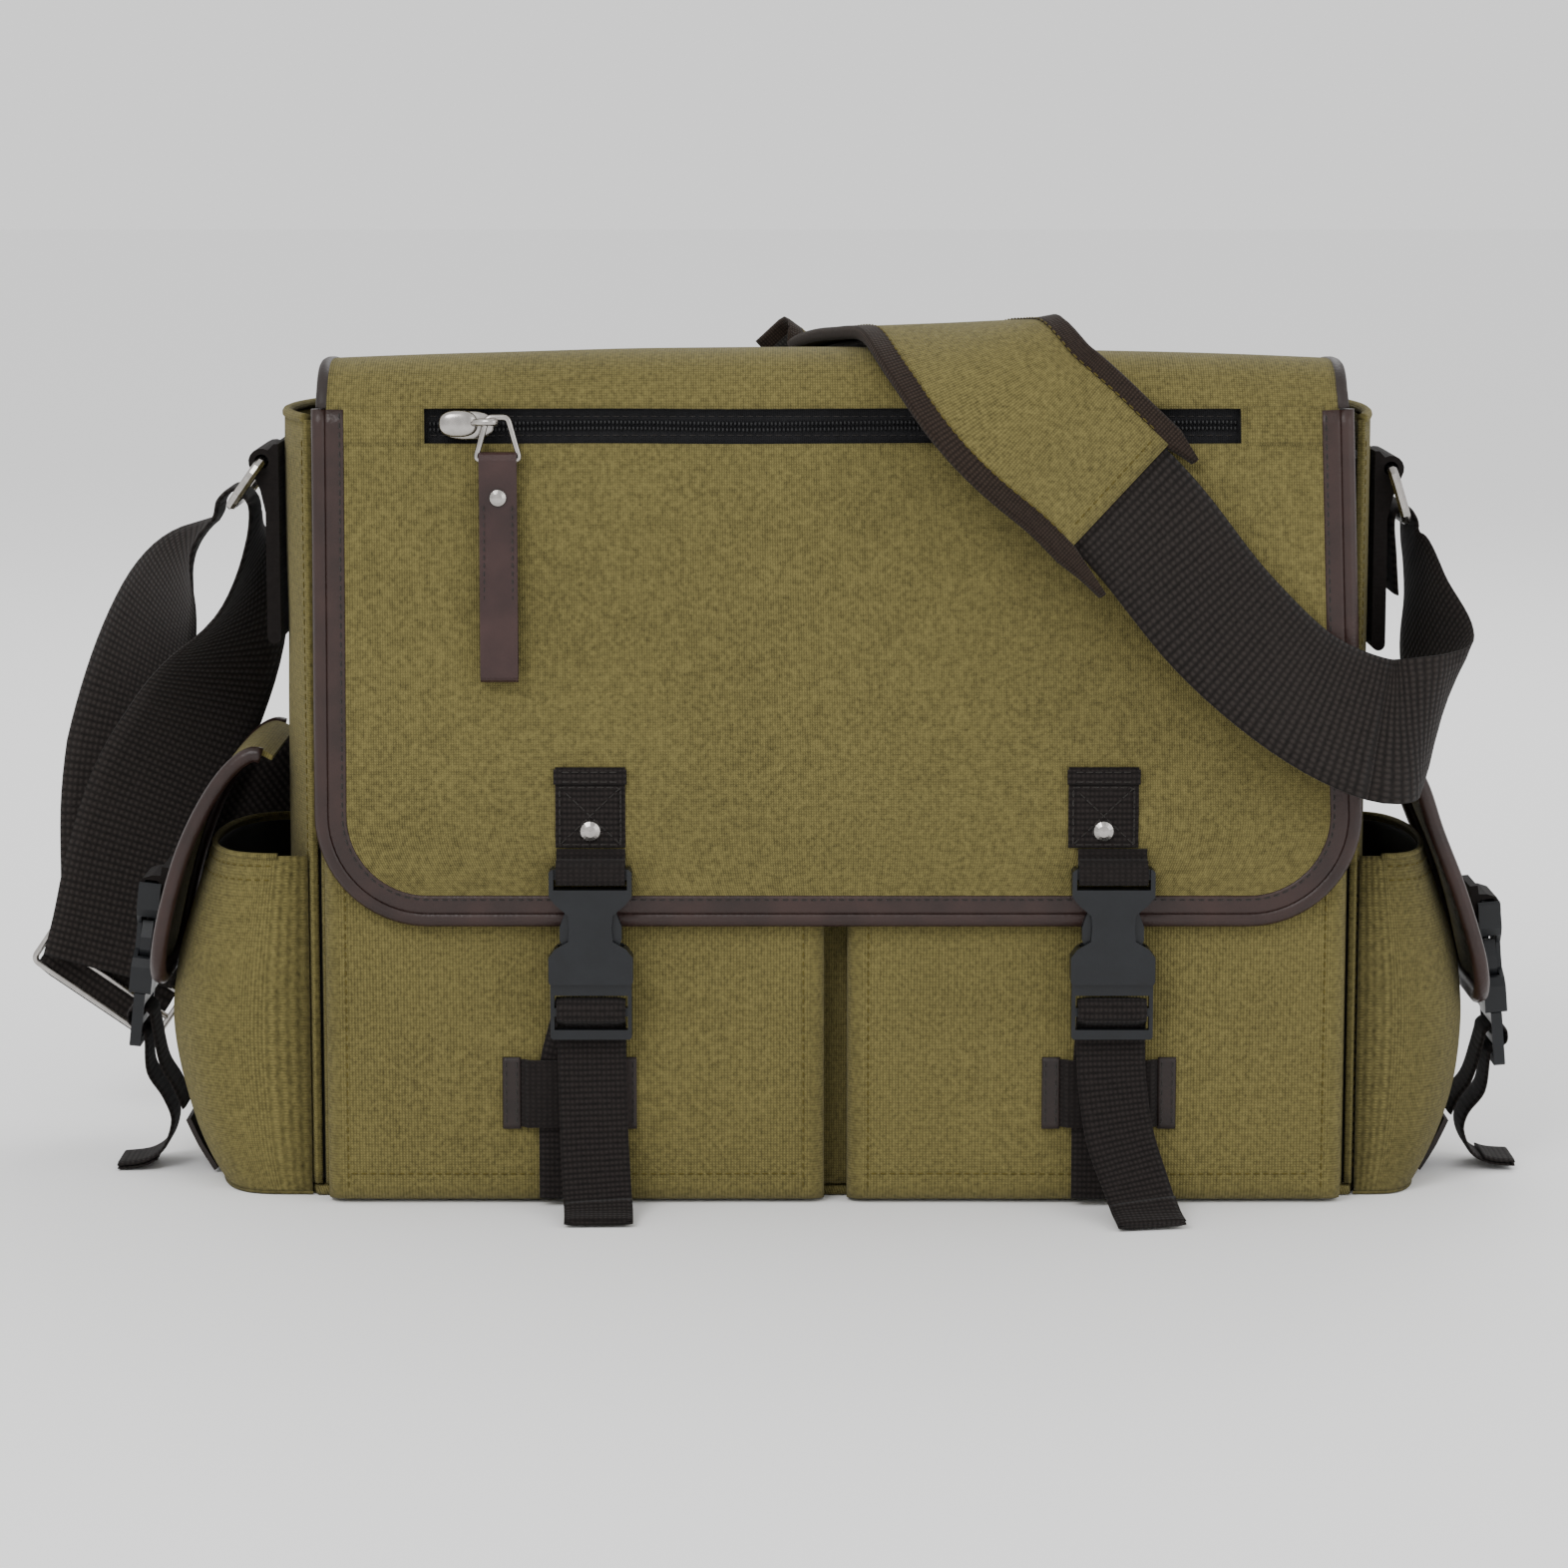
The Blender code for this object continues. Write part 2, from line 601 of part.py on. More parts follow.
def make_buckle_loops(places):
    """Webbing folded round the female half's top bar, its neck ending at the tab above."""
    outer = [(3.4, 46.6), (3.2, 43.4), (0.2, 43.2), (-3.2, 41.8), (-4.4, 39.5), (-4.4, 36.8), (-3.4, 35.2),
             (-1.8, 34.7), (1.8, 34.7), (3.6, 35.3), (4.9, 37.2), (5.6, 41.0), (6.2, 44.0), (6.2, 46.6)]
    eye = [(-2.9, 38.6), (-2.9, 37.2), (-2.3, 36.3), (2.3, 36.3), (2.9, 37.2), (3.1, 40.6), (2.2, 41.4), (-2.0, 41.4)]
    outlines = [[(y * MM, z * MM) for y, z in outline] for outline in (outer, eye)]
    for (where, side), place in places.items():
        loop = plate(f"{where}_loop_{side}", outlines, NARROW_WEB - 1 * MM, "webbing", "YZ")
        loop.matrix_world = place @ loop.matrix_world


WRAP = ((5.6, -21), (5.2, -11.5), (3.8, -7.4), (0.2, -5.9), (-3.3, -7.6), (-3.4, -11.6), (-0.2, -13.7),
        (2.9, -15.4), (3.5, -19), (3.5, -23))       # depth and height of the strap's path round the male's bar


def wrap_stations(place):
    across = place.to_3x3() @ Vector((1, 0, 0))
    return [(place @ (Vector((0, y, z)) * MM) / MM, across) for y, z in WRAP]


FRONT_RISE = {"left": ((-92, -66.2, 2.5), (-92, -66.2, 22), (-92.0, -66.2, 41), (-91.4, -66.2, 51),
                       (-89.5, -66.8, 59)),
              "right": ((95.6, -66.4, 2.5), (95.6, -66.4, 22), (95.6, -66.4, 42), (96.2, -66.5, 55))}
FRONT_TAIL = {"left": ((-84.8, -71.6, 45), (-84.2, -74.5, 26), (-83.2, -80.5, 11), (-82.3, -89, 3), (-82, -98, 1.2)),
              "right": ((97.4, -71.8, 45), (100, -75.5, 27), (105, -84, 12), (108, -92.5, 3.8), (109.7, -102, 1.2))}
TAIL_LEAN = {"left": (0, 0, 0, 0, 0), "right": (0, -0.12, -0.2, -0.08, 0)}


def make_front_straps(places):
    for side in SIDES:
        stations = [(p, (1, 0, 0)) for p in FRONT_RISE[side]]
        wrap = wrap_stations(places["front", side])[1:]
        if side == "left":
            wrap[0] = (wrap[0][0] + Vector((-1.6, 0, 0)), wrap[0][1])
            wrap[1] = (wrap[1][0] + Vector((-0.5, 0, 0)), wrap[1][1])
        stations += wrap
        stations += [(p, (1, 0, lean)) for p, lean in zip(FRONT_TAIL[side], TAIL_LEAN[side])]
        band("front_strap_" + side, band_frames(stations, 3), NARROW_WEB - 1 * MM, WEB_T, "webbing")
        keeper = [(-23, 1.5), (-17.5, 1.5), (-14.5, 4.6), (14.5, 4.6), (17.5, 1.5), (23, 1.5),
                  (23, 0.3), (16.8, 0.3), (13.8, 3.4), (-13.8, 3.4), (-16.8, 0.3), (-23, 0.3)]
        outline = [(a * MM, -b * MM) for a, b in keeper]
        plate("strap_keeper_" + side, [outline], 24 * MM, "webbing", "XY", (KEEPER_X[side], POCKET_FACE_Y, 40.4 * MM))


# Side-pocket flaps: out from the bag's middle, and height, root to tip
SIDE_PROFILE = {
    "left": ((198.6, 154.5), (206, 157), (214.5, 151), (223.5, 138), (231.5, 121), (237.5, 101), (240.6, 86), (242, 76)),
    "right": ((193.6, 155), (201, 156.5), (208, 146), (214, 129), (222, 109), (228.5, 89), (231.3, 77), (232.4, 69)),
}


def side_spine(side, extra=0.0, steps=5):
    """Points down the flap's middle with their distances from the root."""
    points = [Vector((OUTWARD[side] * x, 0, z)) * MM for x, z in SIDE_PROFILE[side]]
    line = catmull(points, steps)
    if extra:
        line.append(line[-1] + (line[-1] - line[-2]).normalized() * extra)
    lengths = [0.0]
    for a, b in zip(line, line[1:]):
        lengths.append(lengths[-1] + (b - a).length)
    return line, lengths


def half_width_at(along, length, half, corner):
    """Half the flap's width at a distance from its root: the tip's corners are round."""
    left = length - along
    if left >= corner:
        return half
    return half - corner + sqrt(max(corner ** 2 - (corner - left) ** 2, 0))


def make_side_flap(side, places):
    corner = 17 * MM
    line, lengths = side_spine(side)
    bm = bmesh.new()
    rows = []
    for point, along in zip(line, lengths):
        half = half_width_at(along, lengths[-1], SIDE_FLAP_HALF, corner)
        rows.append([bm.verts.new(point + Vector((0, half * k, 0))) for k in (-1, 0, 1)])
    for a, b in zip(rows, rows[1:]):
        for i in range(2):
            bm.faces.new((a[i], a[i + 1], b[i + 1], b[i]))
    bmesh.ops.recalc_face_normals(bm, faces=bm.faces)
    mesh = bpy.data.meshes.new("side_flap_" + side)
    bm.to_mesh(mesh)
    bm.free()
    solidify(add("side_flap_" + side, mesh, "canvas"), SIDE_FLAP_T, 0)
    make_side_binding(side, corner)
    make_side_tab(side, places["side", side])


def make_side_binding(side, corner):
    away = BINDING_R + GAP + 0.1 * MM
    line, lengths = side_spine(side, away)
    edge = []
    for point, along in zip(line[4:], lengths[4:]):
        half = half_width_at(along, lengths[-1], SIDE_FLAP_HALF + away, corner + away)
        edge.append((point, half))
    front = [p + Vector((0, -half, 0)) for p, half in edge]
    back = [p + Vector((0, half, 0)) for p, half in reversed(edge)]
    tube("side_binding_" + side, front + back, BINDING_R - 0.2 * MM, "leather")


def make_side_tab(side, place):
    """Webbing sewn on the flap's outside, ending where the buckle's loop starts."""
    line, _ = side_spine(side)
    out = Vector((OUTWARD[side], 0, 0))
    foot = (place @ (Vector((0, 4.8, 46.9)) * MM))
    chosen = [p for p in line if foot.z < p.z < foot.z + 27 * MM]
    stations = []
    for i, point in enumerate(chosen):
        ahead = (chosen[min(i + 1, len(chosen) - 1)] - chosen[max(i - 1, 0)]).normalized()
        normal = Vector((ahead.z, 0, -ahead.x))
        normal *= 1 if normal.dot(out) > 0 else -1
        stations.append(((point + normal * (SIDE_FLAP_T / 2 + GAP + 1 * MM)) / MM, (0, 1, 0)))
    band("side_tab_" + side, band_frames(stations, 2), NARROW_WEB - 1 * MM, 1.8 * MM, "webbing")


SIDE_TAIL = {"left": ((-249.3, 0, 36), (-243.8, 0, 27), (-240.8, 0, 18), (-244, 0, 8), (-251, 0, 3), (-261, 0, 1.6)),
             "right": ((237.3, 0, 29), (231.5, 0, 21), (230.0, 0, 14), (233.5, 0, 6), (240, 0, 2.4), (249, 0, 1.6))}
SIDE_RISE = {"left": ((-236.6, 0, 22.5), (-240.2, 0, 31), (-244.6, 0, 39)),
             "right": ((225.2, 0, 20.5), (228.2, 0, 27), (232.6, 0, 33.5))}


def make_side_strap(side, place):
    stations = [(p, (0, 1, 0)) for p in SIDE_RISE[side]]
    stations += [(p, (0, 1, 0)) for p, _ in wrap_stations(place)[1:-1]]
    stations += [(p, (0, 1, 0)) for p in SIDE_TAIL[side]]
    band("side_strap_" + side, band_frames(stations, 3), NARROW_WEB - 1 * MM, WEB_T, "webbing")
    out = OUTWARD[side]
    root = gusset_x(side, SIDE_POCKET_HALF_D) / MM + 1.2 - SIDE_POCKET_LESS[side] / MM
    steps = [(z, reach) for z, reach in SIDE_POCKET_REACH[:3]]
    patch = [((out * (root + reach + 1.5), 0, z), (0, 1, 0)) for z, reach in steps]
    patch[-1] = ((patch[-1][0][0] - out * 0.6, 0, 19.5), (0, 1, 0))
    band("side_anchor_" + side, band_frames(patch, 2), 30 * MM, 1.8 * MM, "leather")


def ring_frame(side):
    """Pivot, and the direction that the ring hangs in."""
    tilt = radians(RING_TILT[side])
    return RING_PIVOT[side], Vector((OUTWARD[side] * sin(tilt), 0, -cos(tilt)))


def make_ring(side):
    pivot, down = ring_frame(side)
    half, corner = 27.6 * MM, 5 * MM
    outline = arc((half - corner, corner), corner, 270, 360, 3)
    outline += arc((half - corner, RING_DROP - 2 * MM - corner), corner, 0, 90, 3)
    outline += arc((-half + corner, RING_DROP - 2 * MM - corner), corner, 90, 180, 3)
    outline += arc((-half + corner, corner), corner, 180, 270, 3)
    points = [pivot + Vector((0, y, 0)) + down * d for y, d in outline]
    tube("ring_" + side, points, RING_WIRE, "nickel", closed=True)
    foot = gusset_x(side, 0) / MM + GAP / MM
    u, z = OUTWARD[side] * pivot.x / MM - foot, pivot.z / MM
    outer = [*arc((2.4, z - 62.5), 2.4, 180, 360, 8), (4.8, z - 18), (6.6, z - 10)]
    outer += [(a, b) for a, b in arc((u, z), 4.6, -15, 120, 6)]
    outer += [(1.5, z + 6.2), (0, z + 6.2)]
    eye = arc((u, z), 2.6, 0, 330, 11)
    out = OUTWARD[side]
    outlines = [[(out * (foot + a) * MM, b * MM) for a, b in line] for line in (outer, eye)]
    plate("ring_tab_" + side, outlines, 48 * MM, "webbing", "XZ")


# Shoulder strap: centre and direction of the width, from the sewn end at the slider, up through
# the left ring and back, behind the bag, over its top and down the front, to the right ring
STRAP_ROUTE = (
    ((-273.2, 56.6, 60.5), (0.82, 0, -0.57)), ((-269.0, 56.2, 76), (0.90, 0, -0.42)),
    ((-262.0, 53.5, 104), (0.94, 0.05, -0.30)), ((-252.0, 49.5, 131), (0.92, 0.15, -0.36)),
    ((-236.0, 41, 160), (0.80, 0.45, -0.38)), ((-220.0, 25, 191), (0.50, 0.82, -0.25)),
    ((-211.5, 5, 219), (0.12, 0.99, 0)), ((-208.3, 0, 235), (0, 1, 0)), ((-208.8, 0, 244.0), (0, 1, 0)),
    ((-214.3, 0, 248.6), (0, 1, 0)), ((-219.6, 0, 244.6), (0, 1, 0)), ((-221.3, 0, 238.5), (0, 1, 0)),
    ((-226.8, 1.5, 231.5), (-0.03, 1, 0.02)), ((-237.5, 13, 216), (-0.54, 0.74, 0.38)),
    ((-250.0, 38, 193), (-0.80, 0.42, 0.42)), ((-259.5, 55, 162), (-0.92, 0.20, 0.30)),
    ((-265.0, 61.3, 126), (-0.98, 0, 0.12)), ((-266.0, 62.6, 95), (-1, 0, 0.03)),
    ((-266.4, 63.2, 78), (-1, 0, 0.04)), ((-268.2, 63.5, 68.0), (-0.95, 0, 0.30)),
    ((-272.0, 63.5, 60), (-0.82, 0, 0.57)), ((-276.0, 63.5, 54.3), (-0.82, 0, 0.57)),
    ((-278.0, 63.5, 51.4), (-0.82, 0, 0.57)), ((-279.0, 63.5, 50.0), (-0.82, 0, 0.57)),
    ((-280.4, 64.5, 48.0), (-0.82, 0, 0.57)), ((-281.0, 67, 47.1), (-0.82, 0, 0.57)),
    ((-280.4, 69.5, 48.0), (-0.82, 0, 0.57)), ((-279.0, 70.5, 50.0), (-0.82, 0, 0.57)),
    ((-277.3, 70.7, 52.5), (-0.82, 0, 0.57)), ((-273.9, 70.7, 57.4), (-0.82, 0, 0.57)),
    ((-268.0, 70.5, 65.8), (-0.81, 0, 0.58)), ((-255.0, 69, 80), (-0.76, 0, 0.65)),
    ((-235.0, 66, 99), (-0.69, 0, 0.72)),
    ((-180.0, 58, 139), (-0.66, 0, 0.75)), ((-110.0, 56, 196), (-0.66, 0, 0.75)),
    ((-38.0, 57, 246), (-0.70, 0, 0.72)), ((-6.0, 60, 273.5), (-0.88, -0.02, 0.46)),
    ((9.5, 58.5, 291), (-0.955, -0.11, 0.24)), ((19.0, 38, 298), (-0.97, -0.25, 0.02)),
    ((30.0, -8, 303), (-0.93, -0.36, 0.02)), ((40.0, -42, 306), (-0.90, -0.42, -0.05)),
    ((49.0, -67.5, 300), (-0.90, -0.30, -0.30)), ((63.0, -83, 283), (-0.86, -0.30, -0.40)),
    ((86.0, -85, 262.5), (-0.86, -0.38, -0.34)), ((107.0, -85.5, 241), (-0.79, -0.38, -0.48)),
    ((132.5, -85.5, 209.5), (-0.62, -0.41, -0.67)), ((160.0, -87, 185), (-0.47, -0.48, -0.73)),
    ((187.0, -84, 172), (-0.38, -0.34, -0.86)), ((203.5, -75, 172), (-0.34, -0.20, -0.92)),
    ((212.0, -59, 175.5), (-0.30, -0.10, -0.94)), ((213.5, -40, 186), (-0.35, 0.45, -0.80)),
    ((210.0, -20, 203), (-0.22, 0.86, -0.42)), ((208.8, -6, 219), (-0.06, 0.98, -0.12)),
    ((207.6, -1, 230), (0, 1, 0)), ((206.9, 0, 238.5), (0, 1, 0)), ((203.2, 0, 242.9), (0, 1, 0)),
    ((198.8, 0, 239.8), (0, 1, 0)), ((199.5, 0, 226), (0, 1, 0)), ((200.5, 0, 212), (0, 1, 0)),
)
PAD_FIRST, PAD_LAST = 36, 43       # stations of the strap where the pad starts and ends
STRAP_STEPS = 3
GATHER_AT = 10.5                   # station of the left ring
GATHER = 0.4


def gathered(frames):
    """Share of its width that the webbing keeps: it gathers where it turns in the left ring."""
    shares = []
    for i in range(len(frames)):
        away = abs(i / STRAP_STEPS - GATHER_AT)
        shares.append(1 - GATHER * max(0.0, min(1.0, (5.0 - away) / 3.0)))
    return shares


def make_shoulder_strap():
    frames = band_frames(STRAP_ROUTE, STRAP_STEPS)
    band("shoulder_strap", frames, WIDE_WEB, STRAP_T, "webbing", shares=gathered(frames))
    pad = frames[PAD_FIRST * STRAP_STEPS:PAD_LAST * STRAP_STEPS + 3]
    inside = inward_sign(pad)
    band("pad_cushion", pad, 55 * MM, 3.4 * MM, "padding", inside * (STRAP_T / 2 + 2 * GAP + 1.7 * MM))
    band("pad_cover", pad, 56 * MM, 1.4 * MM, "canvas", -inside * (STRAP_T / 2 + 3 * GAP + 0.7 * MM))
    for name, shift in (("pad_tape_left", 1), ("pad_tape_right", -1)):
        band(name, pad, 4.4 * MM, 3.4 * MM, "tape", 0, shift * (30.6 * MM))


def inward_sign(frames):
    """Which way along the face direction the bag lies, at the pad's middle."""
    centre, _, face = frames[len(frames) // 2]
    return 1 if face.dot(Vector((0, 0, 0.15)) - centre) > 0 else -1


SLIDER_CENTRE = Vector((-273.4, 59.9, 57.5)) * MM
SLIDER_ALONG = Vector((0.82, 0, -0.57)).normalized()     # direction of its bars
SLIDER_UP = Vector((0.57, 0, 0.82)).normalized()


def make_strap_slider():
    """Metal slider: a rectangular frame round two slots with a bar between them."""
    half, high, wire, bar = 28.5, 11.5, 2.4, 1.2
    outline = [(-half, -high), (half, -high), (half, high), (-half, high)]
    inner = half - wire
    slots = [[(-inner, bar), (-inner, high - wire), (inner, high - wire), (inner, bar)],
             [(-inner, wire - high), (-inner, -bar), (inner, -bar), (inner, wire - high)]]
    shapes = [[(a * MM, b * MM) for a, b in shape] for shape in (outline, *slots)]
    curve, _ = plate_curve("strap_slider", shapes, 1.6 * MM)
    slider = add("strap_slider", curve, "nickel")
    face = SLIDER_ALONG.cross(SLIDER_UP)
    turn = Matrix((SLIDER_ALONG, SLIDER_UP, face)).transposed().to_4x4()
    slider.matrix_world = Matrix.Translation(SLIDER_CENTRE) @ turn


def carry(body, pivot, nodes):
    """Parents a moving body's pieces to an empty on its joint, without moving them."""
    empty = bpy.data.objects.new(f"pivot_{body}", None)
    empty.empty_display_size = 0.02
    PARTS.objects.link(empty)
    empty.location = pivot
    for node in nodes:
        piece = bpy.data.objects[node]
        piece.parent = empty
        piece.matrix_parent_inverse = Matrix.Translation(pivot).inverted()
    return empty


def make_pivots(places):
    flap = carry("flap", HINGE, (
        "flap_top_panel", "flap_front_panel", "flap_lining", "flap_binding", "zip_tape", "zip_coil",
        "flap_tab_left", "flap_tab_right", "tab_rivet_left", "tab_rivet_right",
        "front_loop_left", "front_loop_right", "front_female_left", "front_female_right"))
    slider = carry("zip_slider", SLIDER_START, ("zip_slider",))
    bail = carry("zip_bail", BAIL_TOP, ("zip_bail",))
    pull = carry("zip_pull", BAIL_FOOT, ("leather_pull", "pull_rivet"))
    for child, parent in ((slider, flap), (bail, slider), (pull, bail)):
        child.parent = parent
        child.matrix_parent_inverse = parent_place(parent).inverted()
    for side in SIDES:
        carry(f"front_male_{side}", places["front", side].translation, (f"front_male_{side}",))
        carry(f"side_male_{side}", places["side", side].translation, (f"side_male_{side}",))
        carry(f"ring_{side}", RING_PIVOT[side], (f"ring_{side}",))
        x, z = SIDE_PROFILE[side][0]
        carry(f"side_flap_{side}", Vector((OUTWARD[side] * x, 0, z)) * MM, (
            f"side_flap_{side}", f"side_binding_{side}", f"side_tab_{side}",
            f"side_loop_{side}", f"side_female_{side}"))
    carry("strap_slider", SLIDER_CENTRE, ("strap_slider",))


def parent_place(empty):
    """World place of a pivot empty, which is only ever moved."""
    return Matrix.Translation(empty.location)


def main():
    places = buckle_places()
    make_body()
    make_front_pockets()
    make_flap()
    make_buckles(places)
    make_buckle_loops(places)
    make_front_straps(places)
    for side in SIDES:
        make_side_pocket(side)
        make_side_flap(side, places)
        make_side_strap(side, places["side", side])
        make_ring(side)
    make_shoulder_strap()
    make_strap_slider()
    make_pivots(places)


main()
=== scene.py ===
"""Messenger bag: the looks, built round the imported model.

Lengths are in metres in the frame's own axes: +X to the right seen from the front, -Y to the
front and +Z up. MM turns the millimetres that the parts are thought out in into metres.
"""

import math

import bmesh
import bpy
from mathutils import Matrix, Vector, noise


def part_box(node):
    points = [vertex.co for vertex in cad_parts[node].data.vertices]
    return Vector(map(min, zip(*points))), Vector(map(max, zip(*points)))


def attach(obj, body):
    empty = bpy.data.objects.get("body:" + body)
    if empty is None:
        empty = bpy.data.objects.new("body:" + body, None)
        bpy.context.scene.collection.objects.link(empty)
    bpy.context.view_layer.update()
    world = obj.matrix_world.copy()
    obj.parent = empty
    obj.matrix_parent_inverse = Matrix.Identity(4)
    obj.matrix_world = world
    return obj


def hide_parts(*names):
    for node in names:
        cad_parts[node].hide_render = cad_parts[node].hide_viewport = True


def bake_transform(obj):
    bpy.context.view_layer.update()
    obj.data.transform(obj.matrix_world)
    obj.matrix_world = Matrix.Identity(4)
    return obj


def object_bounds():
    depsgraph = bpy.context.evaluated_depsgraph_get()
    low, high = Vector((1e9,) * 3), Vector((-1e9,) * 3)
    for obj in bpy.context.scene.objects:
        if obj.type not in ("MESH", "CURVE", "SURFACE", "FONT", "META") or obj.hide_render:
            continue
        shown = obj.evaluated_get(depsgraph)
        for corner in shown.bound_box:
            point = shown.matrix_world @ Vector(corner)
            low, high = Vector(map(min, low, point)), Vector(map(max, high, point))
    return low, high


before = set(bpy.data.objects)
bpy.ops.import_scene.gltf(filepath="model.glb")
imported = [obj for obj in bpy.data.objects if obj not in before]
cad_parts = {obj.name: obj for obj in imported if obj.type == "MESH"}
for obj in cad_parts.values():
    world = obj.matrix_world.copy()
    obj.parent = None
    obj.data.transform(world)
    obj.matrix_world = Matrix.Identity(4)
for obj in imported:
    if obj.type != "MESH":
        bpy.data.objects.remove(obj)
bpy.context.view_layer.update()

MM = 0.001
SIDES = ("left", "right")
OUTWARD = {"left": -1, "right": 1}


# ---------------------------------------------------------------- materials

class Look:
    """A procedural material and the nodes that feed its shader."""

    def __init__(self, name, colour, roughness, metallic=0.0, sheen=0.0, shine=0.5):
        self.material = bpy.data.materials.new(name)
        self.material.use_nodes = True
        self.material.diffuse_color = (*colour, 1)
        self.nodes = self.material.node_tree.nodes
        self.links = self.material.node_tree.links
        self.shader = self.nodes["Principled BSDF"]
        self.shader.inputs["Base Color"].default_value = (*colour, 1)
        for socket, value in (("Roughness", roughness), ("Metallic", metallic), ("Sheen Weight", sheen),
                              ("Sheen Roughness", 0.5), ("Specular IOR Level", shine)):
            self.shader.inputs[socket].default_value = value

    def place(self, kind="Object"):
        return self.nodes.new("ShaderNodeTexCoord").outputs[kind]

    def feed(self, socket, source):
        self.links.new(source, self.shader.inputs[socket])

    def threads(self, place, direction, per_metre, distortion):
        """One set of threads: bands along an axis, per_metre of them to a metre."""
        made = self.nodes.new("ShaderNodeTexWave")
        made.wave_type = "BANDS"
        made.bands_direction = direction
        made.inputs["Scale"].default_value = per_metre / 3.1831
        made.inputs["Distortion"].default_value = distortion
        made.inputs["Detail"].default_value = 1.0
        self.links.new(place, made.inputs["Vector"])
        return made.outputs["Fac"]

    def noise(self, place, scale, detail):
        made = self.nodes.new("ShaderNodeTexNoise")
        made.inputs["Scale"].default_value = scale
        made.inputs["Detail"].default_value = detail
        self.links.new(place, made.inputs["Vector"])
        return made.outputs["Fac"]

    def maths(self, operation, a, b):
        made = self.nodes.new("ShaderNodeMath")
        made.operation = operation
        for socket, value in zip(made.inputs, (a, b)):
            if isinstance(value, (int, float)):
                socket.default_value = value
            else:
                self.links.new(value, socket)
        return made.outputs[0]

    def add(self, a, b):
        return self.maths("ADD", a, b)

    def times(self, a, b):
        return self.maths("MULTIPLY", a, b)

    def colour_from(self, factor, colour, low, high):
        """Runs the colour between two stops, each a position on the factor and a brightness."""
        made = self.nodes.new("ShaderNodeValToRGB")
        for element, (position, brightness) in zip(made.color_ramp.elements, (low, high)):
            element.position = position
            element.color = (*(min(1.0, c * brightness) for c in colour), 1)
        self.links.new(factor, made.inputs[0])
        self.feed("Base Color", made.outputs["Color"])

    def bump(self, height, strength, distance):
        made = self.nodes.new("ShaderNodeBump")
        made.inputs["Strength"].default_value = strength
        made.inputs["Distance"].default_value = distance
        self.links.new(height, made.inputs["Height"])
        self.feed("Normal", made.outputs["Normal"])


def woven(name, colour, threads, depth, roughness=0.9, contrast=0.25, mottle=0.10, sheen=0.15, ribs=1.0,
          speckle=0.5):
    """Cloth of two sets of threads, laid by the piece's own UV map, which is in metres. ribs is
    how much closer the threads across it are than those along it."""
    look = Look(name, colour, roughness, sheen=sheen, shine=0.12)
    place = look.place("UV")
    along = look.threads(place, "X", threads * ribs, 0.6)
    across = look.threads(place, "Y", threads, 0.6)
    weave = look.add(look.times(along, across), look.times(along, 0.35))
    solid = look.place()
    broad = look.noise(solid, 22.0, 4.0)
    slub = look.noise(solid, 640.0, 2.0)
    tone = look.add(look.times(weave, contrast), look.times(broad, mottle * 2))
    tone = look.add(tone, look.times(slub, speckle))
    low = contrast * 0.42 + mottle + speckle * 0.5 - 0.36
    look.colour_from(tone, colour, (max(low, 0.0), 0.40), (low + 0.72, 1.60))
    look.bump(look.add(weave, look.times(slub, 0.5)), 0.55, depth)
    return look.material


def solid_weave(name, colour, axes, threads, depth):
    """Webbing for the frame's own solids, laid by their place in the frame along two axes."""
    look = Look(name, colour, 0.88, sheen=0.04, shine=0.12)
    place = look.place()
    along = look.threads(place, axes[0], threads * 0.8, 0.5)
    weave = look.times(along, look.threads(place, axes[1], threads, 0.5))
    fuzz = look.noise(place, 420.0, 2.0)
    look.colour_from(look.add(look.times(weave, 0.6), look.times(fuzz, 0.5)), colour, (0.1, 0.6), (0.75, 1.3))
    look.bump(look.add(weave, fuzz), 0.55, depth)
    return look.material


def leather(name, colour, roughness, grain=900.0):
    """Smooth hide: fine grain, uneven polish and slightly worn, lighter patches."""
    look = Look(name, colour, roughness, shine=0.34)
    place = look.place()
    cells = look.nodes.new("ShaderNodeTexVoronoi")
    cells.inputs["Scale"].default_value = grain
    look.links.new(place, cells.inputs["Vector"])
    broad = look.noise(place, 60.0, 4.0)
    look.colour_from(broad, colour, (0.3, 0.7), (0.75, 1.5))
    look.feed("Roughness", look.add(look.times(broad, 0.3), roughness - 0.15))
    look.bump(look.add(cells.outputs["Distance"], look.times(broad, 0.6)), 0.3, 0.00025)
    return look.material


def moulded(name, colour, roughness):
    """Injection-moulded plastic: a faint texture and handling marks in its gloss."""
    look = Look(name, colour, roughness, shine=0.30)
    place = look.place()
    marks = look.noise(place, 130.0, 5.0)
    look.colour_from(marks, colour, (0.3, 0.8), (0.8, 1.3))
    look.feed("Roughness", look.add(look.times(marks, 0.25), roughness - 0.12))
    look.bump(look.noise(place, 2600.0, 2.0), 0.25, 0.00012)
    return look.material


def plated(name, colour, roughness):
    """Polished plate with hairlines and dull patches."""
    look = Look(name, colour, roughness, metallic=1.0)
    marks = look.noise(look.place(), 300.0, 6.0)
    look.colour_from(marks, colour, (0.25, 0.8), (0.7, 1.12))
    look.feed("Roughness", look.add(look.times(marks, 0.28), roughness - 0.1))
    look.bump(marks, 0.12, 0.0001)
    return look.material


